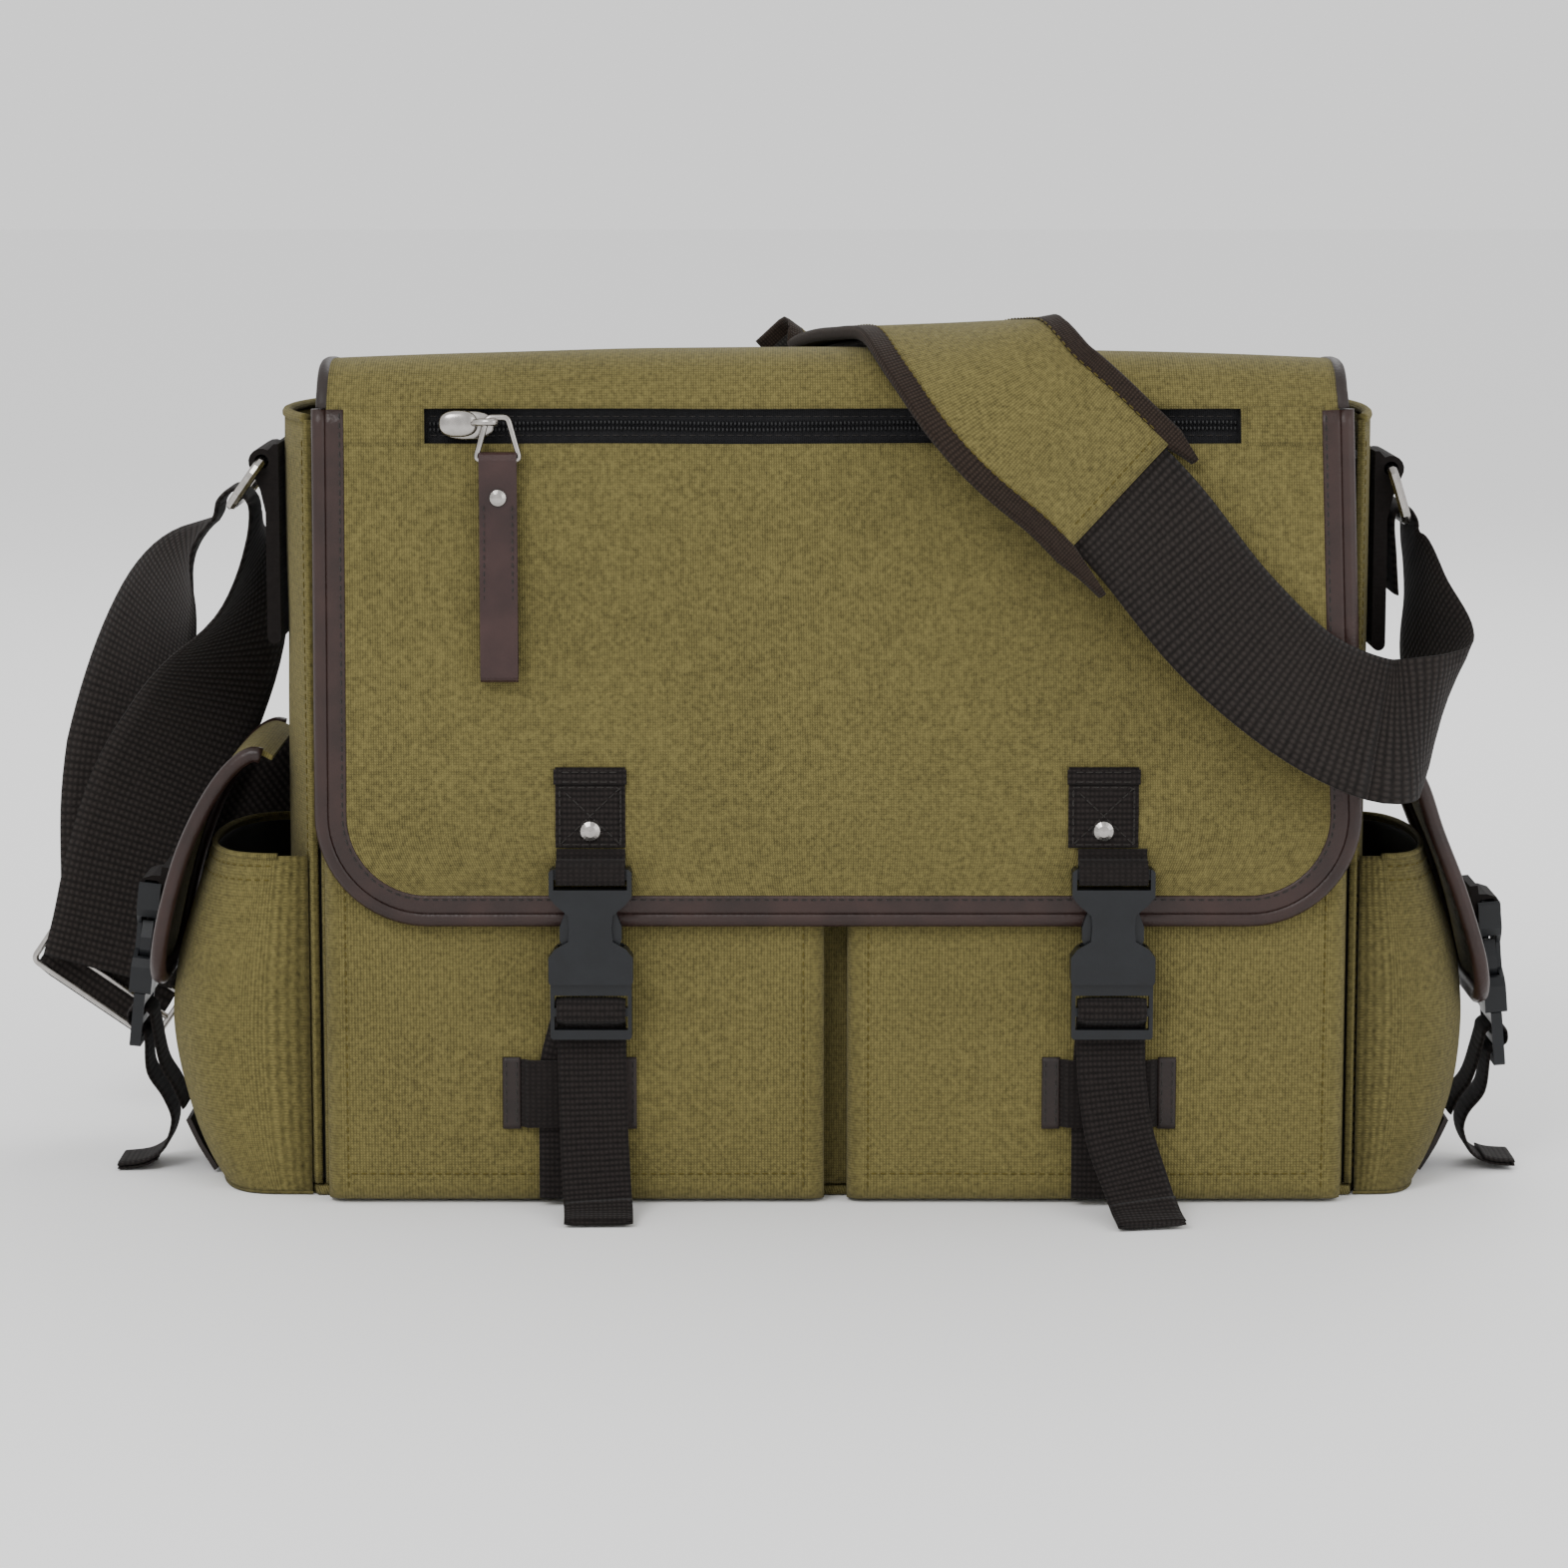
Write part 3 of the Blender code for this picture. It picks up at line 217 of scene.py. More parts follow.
WEB_COLOUR = (0.0125, 0.0100, 0.0094)
CANVAS_WEAVE = {"contrast": 0.30, "sheen": 0.04, "speckle": 0.8}
CANVAS = woven("canvas", (0.116, 0.098, 0.034), 1150, 0.00030, **CANVAS_WEAVE)
CANVAS_DARK = woven("canvas_shaded", (0.098, 0.083, 0.030), 1150, 0.00030, **CANVAS_WEAVE)
LINING = woven("lining_cloth", (0.020, 0.020, 0.018), 1600, 0.00010, roughness=0.8)
WEB = woven("webbing_cloth", WEB_COLOUR, 620, 0.00040, contrast=0.6, sheen=0.04, ribs=0.8)
WIDE = woven("strap_cloth", (0.0160, 0.0130, 0.0118), 480, 0.00055, contrast=0.6, sheen=0.04, ribs=0.8)
TWILL = woven("edge_twill", (0.020, 0.0135, 0.0100), 900, 0.00030, contrast=0.55, sheen=0.04)
PADDING = woven("pad_backing", (0.016, 0.0145, 0.013), 700, 0.00040, contrast=0.5, sheen=0.05)
LEATHER = leather("leather_hide", (0.023, 0.0110, 0.0090), 0.40)
LEATHER_DARK = leather("leather_dark", (0.0150, 0.0095, 0.0082), 0.55)
PULL_HIDE = leather("leather_pull_hide", (0.027, 0.0120, 0.0108), 0.42, grain=1100.0)
PLASTIC = moulded("moulded_plastic", (0.0075, 0.0085, 0.0102), 0.34)
NICKEL = plated("nickel_plate", (0.40, 0.38, 0.36), 0.20)
ZIP = moulded("zip_nylon", (0.013, 0.013, 0.014), 0.38)
ZIP_CLOTH = woven("zip_tape_cloth", (0.010, 0.010, 0.011), 1500, 0.00012, contrast=0.4)
THREAD = woven("thread", (0.085, 0.066, 0.014), 2500, 0.00008, contrast=0.3, sheen=0.05)
WEB_FRONT = solid_weave("webbing_front", WEB_COLOUR, ("X", "Z"), 620, 0.0004)
WEB_SIDE = solid_weave("webbing_side", WEB_COLOUR, ("Y", "Z"), 620, 0.0004)
THREAD_DARK = woven("thread_dark", (0.020, 0.017, 0.015), 2500, 0.00008, contrast=0.3, sheen=0.2)


# ---------------------------------------------------------------- making pieces

def catmull(points, steps):
    """A smooth line through the points."""
    line = []
    last = len(points) - 1
    for i in range(last):
        a, b = points[max(i - 1, 0)], points[i]
        c, d = points[i + 1], points[min(i + 2, last)]
        for k in range(steps):
            t = k / steps
            line.append(0.5 * (2 * b + (c - a) * t + (2 * a - 5 * b + 4 * c - d) * t * t
                               + (3 * b - a - 3 * c + d) * t ** 3))
    line.append(points[-1].copy())
    return line


def add_object(name, data):
    made = bpy.data.objects.new(name, data)
    bpy.context.scene.collection.objects.link(made)
    return made


def publish(name, mesh, material, body, replaces=()):
    """Puts a finished mesh in the scene as a piece. It rides on the body, or on none where that is None."""
    mesh.name = name
    made = add_object(name, mesh)
    mesh.materials.append(material)
    mesh.shade_smooth()
    if replaces:
        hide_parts(*replaces)
    if body:
        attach(made, body)
    return made


def mesh_from(bm):
    mesh = bpy.data.meshes.new("piece")
    bmesh.ops.recalc_face_normals(bm, faces=bm.faces)
    bm.to_mesh(mesh)
    bm.free()
    return mesh


def add_face(bm, uv, corners, coordinates):
    """A face whose corners have the given places on the UV map."""
    made = bm.faces.new(corners)
    for loop, place in zip(made.loops, coordinates):
        loop[uv].uv = place


def reach_along(points):
    """How far along the line each of its points is."""
    reach = [0.0]
    for a, b in zip(points, points[1:]):
        reach.append(reach[-1] + (b - a).length)
    return reach


def sheet_mesh(place, us, vs, thickness, keep=None):
    """A closed sheet of cloth. place(u, v) gives a point of its outer face, us and vs the steps
    in each direction, and keep(u, v) leaves out parts of it. The thickness lies on the inner
    side, where place's u by v normal points away from. UVs are u and v, in metres."""
    bm = bmesh.new()
    uv = bm.loops.layers.uv.new("UVMap")
    grid = [[Vector(place(u, v)) for v in vs] for u in us]
    rows, cols = len(us), len(vs)

    def normal(i, j):
        a = grid[min(i + 1, rows - 1)][j] - grid[max(i - 1, 0)][j]
        b = grid[i][min(j + 1, cols - 1)] - grid[i][max(j - 1, 0)]
        return a.cross(b).normalized()

    over = [[bm.verts.new(grid[i][j]) for j in range(cols)] for i in range(rows)]
    under = [[bm.verts.new(grid[i][j] - normal(i, j) * thickness) for j in range(cols)] for i in range(rows)]
    kept = [[keep is None or keep((us[i] + us[i + 1]) / 2, (vs[j] + vs[j + 1]) / 2)
             for j in range(cols - 1)] for i in range(rows - 1)]

    for i in range(rows - 1):
        for j in range(cols - 1):
            if not kept[i][j]:
                continue
            corners = ((i, j), (i + 1, j), (i + 1, j + 1), (i, j + 1))
            coordinates = [(us[a], vs[b]) for a, b in corners]
            add_face(bm, uv, [over[a][b] for a, b in corners], coordinates)
            add_face(bm, uv, [under[a][b] for a, b in reversed(corners)], coordinates[::-1])
            for k, (di, dj) in enumerate(((0, -1), (1, 0), (0, 1), (-1, 0))):
                ni, nj = i + di, j + dj
                open_edge = not (0 <= ni < rows - 1 and 0 <= nj < cols - 1) or not kept[ni][nj]
                if open_edge:
                    (a, b), (c, d) = corners[k], corners[(k + 1) % 4]
                    add_face(bm, uv, (over[c][d], over[a][b], under[a][b], under[c][d]),
                             ((us[c], vs[d]), (us[a], vs[b]), (us[a] + MM, vs[b]), (us[c] + MM, vs[d])))
    loose = [vert for vert in bm.verts if not vert.link_faces]
    bmesh.ops.delete(bm, geom=loose, context="VERTS")
    return mesh_from(bm)


def stretch_uv(mesh, wide, tall):
    """Turns a sheet's own u and v into metres for its weave."""
    for entry in mesh.uv_layers["UVMap"].data:
        entry.uv = (entry.uv[0] * wide, entry.uv[1] * tall)


def spread(low, high, count):
    return [low + (high - low) * i / count for i in range(count + 1)]


def band_frames(stations, per_span):
    """Centre, width direction and face direction along a band, from stations in millimetres."""
    centres = catmull([Vector(p) * MM for p, _ in stations], per_span)
    widths = catmull([Vector(w).normalized() for _, w in stations], per_span)
    frames = []
    for i, (centre, across) in enumerate(zip(centres, widths)):
        ahead = (centres[min(i + 1, len(centres) - 1)] - centres[max(i - 1, 0)]).normalized()
        across = (across - ahead * across.dot(ahead)).normalized()
        frames.append((centre, across, ahead.cross(across)))
    return frames


def band_mesh(frames, width, thickness, lift=0.0, shift=0.0, shares=None, columns=8):
    """A strip of webbing with rounded edges along the frames. shares narrow it, frame by frame."""
    bm = bmesh.new()
    uv = bm.loops.layers.uv.new("UVMap")
    profile = []
    for k in range(columns + 1):
        t = 2 * k / columns - 1
        edge = math.sqrt(max(0.0, 1 - max(0.0, (abs(t) - 0.90) / 0.10) ** 2))
        profile.append((t / 2, thickness * 0.5 * max(edge, 0.35)))
    travelled = 0.0
    rings = []
    for i, (centre, across, face) in enumerate(frames):
        if i:
            travelled += (centre - frames[i - 1][0]).length
        share = shares[i] if shares else 1
        middle = centre + face * lift + across * shift
        over = [bm.verts.new(middle + across * width * share * t + face * h) for t, h in profile]
        under = [bm.verts.new(middle + across * width * share * t - face * h) for t, h in profile]
        rings.append((over, under, travelled))

    for (over_a, under_a, s), (over_b, under_b, e) in zip(rings, rings[1:]):
        for k in range(columns):
            a, b = profile[k][0] * width, profile[k + 1][0] * width
            for low, high in ((over_a, over_b), (under_a, under_b)):
                add_face(bm, uv, (low[k], low[k + 1], high[k + 1]), ((s, a), (s, b), (e, b)))
                add_face(bm, uv, (low[k], high[k + 1], high[k]), ((s, a), (e, b), (e, a)))
        for k in (0, columns):
            a = profile[k][0] * width
            add_face(bm, uv, (over_a[k], over_b[k], under_b[k], under_a[k]),
                     ((s, a), (e, a), (e, a + thickness), (s, a + thickness)))
    for over, under, s in (rings[0], rings[-1]):
        near = [(s, t * width) for t, _ in profile]
        far = [(s + thickness, t * width) for t, _ in reversed(profile)]
        add_face(bm, uv, (*over, *reversed(under)), near + far)
    return mesh_from(bm)


def tube_mesh(points, radius, sides=10, flat=1.0, closed=False, face=None):
    """A rolled edge or cord along the points. flat squashes it along face, where that is given."""
    bm = bmesh.new()
    uv = bm.loops.layers.uv.new("UVMap")
    count = len(points)
    rings = []
    travelled = 0.0
    up = Vector(face) if face else Vector((0.13, 0.31, 0.94))
    for i, point in enumerate(points):
        before = points[(i - 1) % count] if closed else points[max(i - 1, 0)]
        after = points[(i + 1) % count] if closed else points[min(i + 1, count - 1)]
        ahead = (after - before).normalized()
        side = ahead.cross(up)
        if side.length < 0.2:
            side = ahead.orthogonal()
        side.normalize()
        over = side.cross(ahead)
        if not face:
            up = over
        if i:
            travelled += (point - points[i - 1]).length
        ring = [bm.verts.new(point + side * math.cos(a) * radius + over * math.sin(a) * radius * flat)
                for a in (math.tau * k / sides for k in range(sides))]
        rings.append((ring, travelled))
    pairs = list(zip(rings, rings[1:]))
    if closed:
        pairs.append((rings[-1], (rings[0][0], travelled + (points[0] - points[-1]).length)))
    for (a, s), (b, e) in pairs:
        for k in range(sides):
            n = (k + 1) % sides
            low, high = (q * math.tau * radius / sides for q in (k, k + 1))
            add_face(bm, uv, (a[k], a[n], b[n], b[k]), ((s, low), (s, high), (e, high), (e, low)))
    if not closed:
        bm.faces.new(rings[0][0][::-1])
        bm.faces.new(rings[-1][0])
    return mesh_from(bm)


def dashes(paths, length=2.3 * MM, gap=1.0 * MM, radius=0.28 * MM):
    """One mesh of thread lying in stitches along each path, half sunk in the cloth."""
    bm = bmesh.new()
    uv = bm.loops.layers.uv.new("UVMap")
    for path in paths:
        lengths = reach_along(path)

        def at(distance):
            for i in range(len(path) - 1):
                if distance <= lengths[i + 1]:
                    span = lengths[i + 1] - lengths[i]
                    return path[i].lerp(path[i + 1], (distance - lengths[i]) / max(span, 1e-9))
            return path[-1]

        start = gap
        while start + length < lengths[-1]:
            a, b = at(start), at(start + length)
            ahead = (b - a).normalized()
            side = ahead.orthogonal().normalized()
            over = ahead.cross(side)
            rings = []
            for t, share in ((0.0, 0.35), (0.22, 1.0), (0.78, 1.0), (1.0, 0.35)):
                middle = a.lerp(b, t)
                turns = [math.tau * k / 6 for k in range(6)]
                around = [(side * math.cos(q) + over * math.sin(q)) * radius * share for q in turns]
                rings.append([bm.verts.new(middle + spoke) for spoke in around])
            for low, high in zip(rings, rings[1:]):
                for k in range(6):
                    n, u, v = (k + 1) % 6, k * radius, (k + 1) * radius
                    corners = (low[k], low[n], high[n], high[k])
                    add_face(bm, uv, corners, ((0, u), (0, v), (length, v), (length, u)))
            bm.faces.new(rings[0][::-1])
            bm.faces.new(rings[-1])
            start += length + gap
    return bm


def stitch(name, paths, body, material=None, radius=0.28 * MM, length=2.3 * MM):
    """Rows of stitches as a piece that rides on a body."""
    mesh = mesh_from(dashes(paths, length=length, radius=radius))
    return publish(name, mesh, material or THREAD, body)


def line_on(place, path, steps=40, lift=0.12 * MM):
    """Points on a sheet along a run of its own (u, v) corners, just proud of its face."""
    points = []
    for (u0, v0), (u1, v1) in zip(path, path[1:]):
        for k in range(steps):
            t = k / steps
            u, v = u0 + (u1 - u0) * t, v0 + (v1 - v0) * t
            here = Vector(place(u, v))
            e = 0.0005
            across = (Vector(place(u + e, v)) - here).cross(Vector(place(u, v + e)) - here)
            points.append(here + across.normalized() * lift)
    return points


def soft_noise(x, z, scale, seed=0.0):
    """Smooth unevenness between -1 and 1."""
    return noise.noise(Vector((x * scale, seed, z * scale)))


# ---------------------------------------------------------------- bag body

HALF_W, HALF_D = 181 * MM, 50 * MM
BULGE = {"left": 12.2 * MM, "right": 7 * MM}
WALL = 2.4 * MM
FLOOR_Z, GUSSET_TOP, FRONT_TOP, BACK_TOP = 4 * MM, 276 * MM, 268 * MM, 280 * MM
PANEL_SHADE = {"left": CANVAS, "right": CANVAS_DARK}


def gusset_x(side, y, inset=0.0):
    return HALF_W + 3.3 * MM + BULGE[side] * (1 - (y / HALF_D) ** 2) - inset


def make_gusset(side):
    out = OUTWARD[side]

    def place(u, v):
        sag = 0.9 * MM * soft_noise(u, v, 22, 3.0 * out) * (1 - (u / HALF_D) ** 2)
        return (out * (gusset_x(side, u) - max(0.0, sag)), u, v)

    us = spread(-HALF_D, HALF_D, 28)
    if out < 0:
        us.reverse()
    mesh = sheet_mesh(place, us, spread(FLOOR_Z, GUSSET_TOP, 60), WALL)
    publish("gusset_cloth_" + side, mesh, PANEL_SHADE[side], "bag", ["gusset_" + side])
    rim = [Vector((out * gusset_x(side, y, 1.3 * MM), y, GUSSET_TOP + 0.3 * MM))
           for y in spread(-48 * MM, 48 * MM, 24)]
    publish("gusset_rim_" + side, tube_mesh(rim, 1.9 * MM), CANVAS, "bag")
    rows = [[Vector((out * (gusset_x(side, y) + 0.1 * MM), y, z)) for z in spread(8 * MM, 270 * MM, 60)]
            for y in (-46.5 * MM, 46.5 * MM)]
    stitch("gusset_stitch_" + side, rows, "bag")


def make_panels():
    """The back and front walls, the base and the bag hung inside them."""
    def back(u, v):
        bow = 2.2 * MM * math.cos(u / HALF_W * math.pi / 2) * math.sin(math.pi * min(v / BACK_TOP, 1))
        return (u, HALF_D - 0.2 * MM + bow + 0.7 * MM * soft_noise(u, v, 14), v)

    mesh = sheet_mesh(back, spread(HALF_W, -HALF_W, 80), spread(FLOOR_Z, BACK_TOP, 64), WALL)
    publish("back_cloth", mesh, CANVAS_DARK, "bag", ["back_panel"])

    def front(u, v):
        return (u, -HALF_D + 0.3 * MM * soft_noise(u, v, 18), v)

    mesh = sheet_mesh(front, spread(-HALF_W, HALF_W, 80), spread(FLOOR_Z, FRONT_TOP, 60), WALL)
    publish("front_cloth", mesh, CANVAS_DARK, "bag", ["front_panel"])

    def base(u, v):
        side = "right" if u > 0 else "left"
        return (u / HALF_W * (gusset_x(side, v) - 0.4 * MM), v, 0.0)

    mesh = sheet_mesh(base, spread(HALF_W, -HALF_W, 60), spread(-HALF_D, HALF_D, 16), 3 * MM)
    publish("base_cloth", mesh, CANVAS_DARK, "bag", ["base_panel"])
    seam_x = HALF_W - 4 * MM
    rows = [line_on(back, [(x, 8 * MM), (x, 272 * MM)], 60) for x in (seam_x, -seam_x)]
    rows += [line_on(back, [(seam_x, z), (-seam_x, z)], 120) for z in (273 * MM, 10 * MM)]
    stitch("back_stitch", rows, "bag")
    make_lining_cloth()


def make_lining_cloth():
    inset, deep = 3.6 * MM, HALF_D - 3.6 * MM
    right = [Vector((gusset_x("right", y, inset), y, 0)) for y in spread(-deep, deep, 12)]
    left = [Vector((-gusset_x("left", y, inset), y, 0)) for y in spread(deep, -deep, 12)]
    loop = right + left + right[:1]
    reach = reach_along(loop)

    def place(u, v):
        for i in range(len(loop) - 1):
            if u <= reach[i + 1] + 1e-9:
                point = loop[i].lerp(loop[i + 1], (u - reach[i]) / (reach[i + 1] - reach[i]))
                return (point.x, point.y, v)

    mesh = sheet_mesh(place, reach, spread(5 * MM, 262 * MM, 20), 0.8 * MM)
    publish("lining_cloth", mesh, LINING, "bag", ["lining"])


# ---------------------------------------------------------------- front pockets

POCKET_SPAN = {"left": (-179 * MM, -3.5 * MM), "right": (4.5 * MM, 179.5 * MM)}
POCKET_TOP = 185 * MM
POCKET_BACK = -50.4 * MM
POCKET_DEEP = 13.4 * MM


def walled(t, low, high, corner, both):
    """Where a run of cloth lies that comes out from the panel, turns a round corner and goes on
    along the face: its coordinate and how far out it is, from 0 to 1. both turns in again."""
    wall = 0.06
    turn = 0.10
    if both and t > 0.5:
        place, out = walled(1 - t, low, high, corner, both)
        return low + high - place, out
    if t < wall:
        return low, 0.62 * t / wall
    if t < wall + turn:
        a = (t - wall) / turn * math.pi / 2
        return low + corner * (1 - math.cos(a)), 0.62 + 0.38 * math.sin(a)
    share = (t - wall - turn) / ((0.5 if both else 1.0) - wall - turn)
    return low + corner + ((low + high) / 2 - low - corner if both else high - low - corner) * share, 1.0


def pocket_place(side):
    x0, x1 = POCKET_SPAN[side]

    def place(u, v):
        x, out_x = walled(u, x0, x1, 5 * MM, True)
        z, out_z = walled(v, 0.6 * MM, POCKET_TOP, 6 * MM, False)
        low = max(0.0, 1 - z / (100 * MM))
        middle = math.sin(math.pi * (x - x0) / (x1 - x0))
        swell = 1.6 * MM * middle * math.sin(math.pi * min(1, low))
        fold = 0.9 * MM * soft_noise(x, z, 20, 9) * middle * min(1.0, low * 3)
        crease = -0.9 * MM * math.exp(-((z - 62 * MM - 6 * MM * middle) / (5 * MM)) ** 2) * middle
        y = POCKET_BACK - POCKET_DEEP * out_x * out_z - (swell + fold + crease) * out_x * out_z
        return (x, y, z)
    return place


def make_front_pocket(side):
    place = pocket_place(side)
    x0, x1 = POCKET_SPAN[side]
    us = [t / 88 for t in range(89)]
    vs = [t / 76 for t in range(77)]
    mesh = sheet_mesh(place, us, vs, 1.3 * MM)
    stretch_uv(mesh, x1 - x0 + 20 * MM, 0.2)
    publish("pocket_cloth_" + side, mesh, CANVAS, "bag", ["front_pocket_" + side])
    rows = []
    for u in (0.17, 0.83):
        rows.append(line_on(place, [(u, 0.14), (u, 0.97)], 90))
    rows.append(line_on(place, [(0.17, 0.965), (0.83, 0.965)], 90))
    rows.append(line_on(place, [(0.17, 0.18), (0.83, 0.18)], 90))
    stitch("pocket_stitch_" + side, rows, "bag")
    rim = [Vector(place(0.03 + 0.94 * t / 40, 1.0)) + Vector((0, 0.6 * MM, 0)) for t in range(41)]
    publish("pocket_rim_" + side, tube_mesh(rim, 1.1 * MM), CANVAS, "bag")


# ---------------------------------------------------------------- side pockets

REACH = ((1, 37), (10, 42.5), (22, 47.5), (40, 52), (58, 54), (75, 52.5), (88, 49.5), (105, 44), (122, 38))
REACH_LESS = {"left": 0, "right": 11 * MM}
SIDE_POCKET_D = 49 * MM


def side_pocket_place(side, inset=0.0):
    profile = catmull([Vector((reach * MM, 0, z * MM)) for z, reach in REACH], 6)
    out = OUTWARD[side]
    root = gusset_x(side, SIDE_POCKET_D) + 1.2 * MM

    def place(u, v):
        row = min(int(v * (len(profile) - 1)), len(profile) - 2)
        point = profile[row].lerp(profile[row + 1], v * (len(profile) - 1) - row)
        angle = -math.pi / 2 + math.pi * u
        bow = max(math.cos(angle), 0) ** 0.45
        reach = point.x - REACH_LESS[side]
        pleat = 1.3 * MM * soft_noise(math.sin(angle) * 0.05, point.z, 26, 5 * out) * bow * (1 - v * 0.6)
        y = (SIDE_POCKET_D - inset) * math.sin(angle)
        return (out * (root + (reach - inset) * bow + pleat), y, point.z)
    return place


def make_side_pocket(side):
    place = side_pocket_place(side)
    out = OUTWARD[side]
    us = [t / 48 for t in range(49)]
    if out < 0:
        us.reverse()
    vs = [t / 48 for t in range(49)]
    mesh = sheet_mesh(place, us, vs, 1.2 * MM)
    stretch_uv(mesh, 0.17, 0.122)
    publish("side_pocket_cloth_" + side, mesh, PANEL_SHADE[side], "bag", ["side_pocket_" + side])
    inner = side_pocket_place(side, 2.0 * MM)
    mesh = sheet_mesh(inner, us, vs[1:-1], 0.4 * MM)
    publish("side_pocket_lining_" + side, mesh, LINING, "bag")

    def floor(u, v):
        x, y, _ = place(u, 0.0)
        edge = out * gusset_x(side, y * 0.98, -0.4 * MM)
        return (edge + (x - edge) * v, y, 0.9 * MM)

    mesh = sheet_mesh(floor, us, spread(0.0, 1.0, 4), -1.0 * MM)
    publish("side_pocket_floor_" + side, mesh, CANVAS_DARK, "bag")
    rows = [[Vector(place(u, v)) + Vector((out * 0.15 * MM, 0, 0)) for u in [t / 90 for t in range(2, 89)]]
            for v in (0.93, 0.965)]
    stitch("side_pocket_stitch_" + side, rows, "bag")
    rim = [Vector(place(t / 48, 1.0)) + Vector((-out * 0.6 * MM, 0, 0)) for t in range(1, 48)]
    publish("side_pocket_rim_" + side, tube_mesh(rim, 1.1 * MM), PANEL_SHADE[side], "bag")


# ---------------------------------------------------------------- flap

FLAP_LEFT, FLAP_RIGHT, FLAP_BOTTOM, FLAP_CORNER = -176 * MM, 178.5 * MM, 105.5 * MM, 34 * MM
FLAP_FACE = -68.0 * MM
FLAP_T = 1.6 * MM
ZIP_LEFT, ZIP_RIGHT, ZIP_LOW, ZIP_HIGH = -141.5 * MM, 139.5 * MM, 269.2 * MM, 281.2 * MM
FLAP_TOP_LINE = ((51, 283), (48, 286.9), (42, 289.9), (30, 292.3), (0, 296.3), (-30, 298.8), (-50, 298.8),
                 (-60, 295.6), (-65.6, 290.0), (-67.8, 284.0))

HINGE_LINE = ((50.6, 276.5), (51.3, 279.5), (51.9, 282.0), (51.6, 284.6), (49.6, 286.8), (46.5, 288.9))


def flap_rows():
    """The flap's profile from the hinge seam to the hem, rows at the zip's edges among them."""
    top = catmull([Vector((0, y * MM, z * MM)) for y, z in FLAP_TOP_LINE], 4)
    hang = [Vector((0, FLAP_FACE, z)) for z in (ZIP_HIGH, 277 * MM, 274 * MM, ZIP_LOW)]
    hang += [Vector((0, FLAP_FACE, z)) for z in spread(ZIP_LOW, FLAP_BOTTOM + FLAP_CORNER, 34)[1:]]
    for k in range(1, 17):
        turn = math.radians(90 * k / 16)
        hang.append(Vector((0, FLAP_FACE, FLAP_BOTTOM + FLAP_CORNER * (1 - math.sin(turn)))))
    return top + hang


def flap_sides(z):
    """The flap's edges at a height on its hanging part."""
    left, right = FLAP_LEFT, FLAP_RIGHT
    rise = max(0.0, (z - 140 * MM) / (156 * MM))
    left += 1.0 * MM * rise
    right -= 6 * MM * min(1.0, rise)
    low = FLAP_CORNER - (z - FLAP_BOTTOM)
    if low > 0:
        inset = FLAP_CORNER - math.sqrt(max(0.0, FLAP_CORNER ** 2 - min(low, FLAP_CORNER) ** 2))
        left, right = left + inset, right - inset
    return left, right


FLAP_ROWS = flap_rows()


def top_sag(u, y, z):
    """How much lower the flap's top lies towards its two sides."""
    front = max(0.0, min(1.0, (z - 281 * MM) / (10 * MM)))
    rear = max(0.0, min(1.0, (50 * MM - y) / (30 * MM)))
    return 3.8 * MM * (2 * u - 1) ** 2 * front * rear


def flap_place(u, v):
    """u runs across the flap from 0 to 1 and v counts rows of its profile."""
    row = min(int(v), len(FLAP_ROWS) - 2)
    point = FLAP_ROWS[row].lerp(FLAP_ROWS[row + 1], v - row)
    left, right = flap_sides(point.z)
    x = left + (right - left) * u
    hanging = max(0.0, min(1.0, (268 * MM - point.z) / (30 * MM))) if point.y < -60 * MM else 0.0
    low = max(0.0, 1 - (point.z - FLAP_BOTTOM) / (60 * MM)) if hanging else 0.0
    edge = math.sin(math.pi * u)
    wave_y = (0.7 * soft_noise(x, point.z, 11) + 0.45 * soft_noise(x, point.z, 34, 7)) * MM * hanging * edge
    lift = -0.8 * MM * low * edge * (1 + math.cos(x / (60 * MM))) * 0.5
    hem = max(0.0, min(1.0, (point.z - FLAP_BOTTOM - 5 * MM) / (18 * MM))) * min(1.0, min(u, 1 - u) * 24)
    top = 0.5 * MM * soft_noise(x, point.y, 16, 4) if not hanging else 0.0
    y = point.y + (min(0.2 * MM, wave_y) + lift) * hem
    return (x, y, point.z + top * edge - top_sag(u, point.y, point.z))


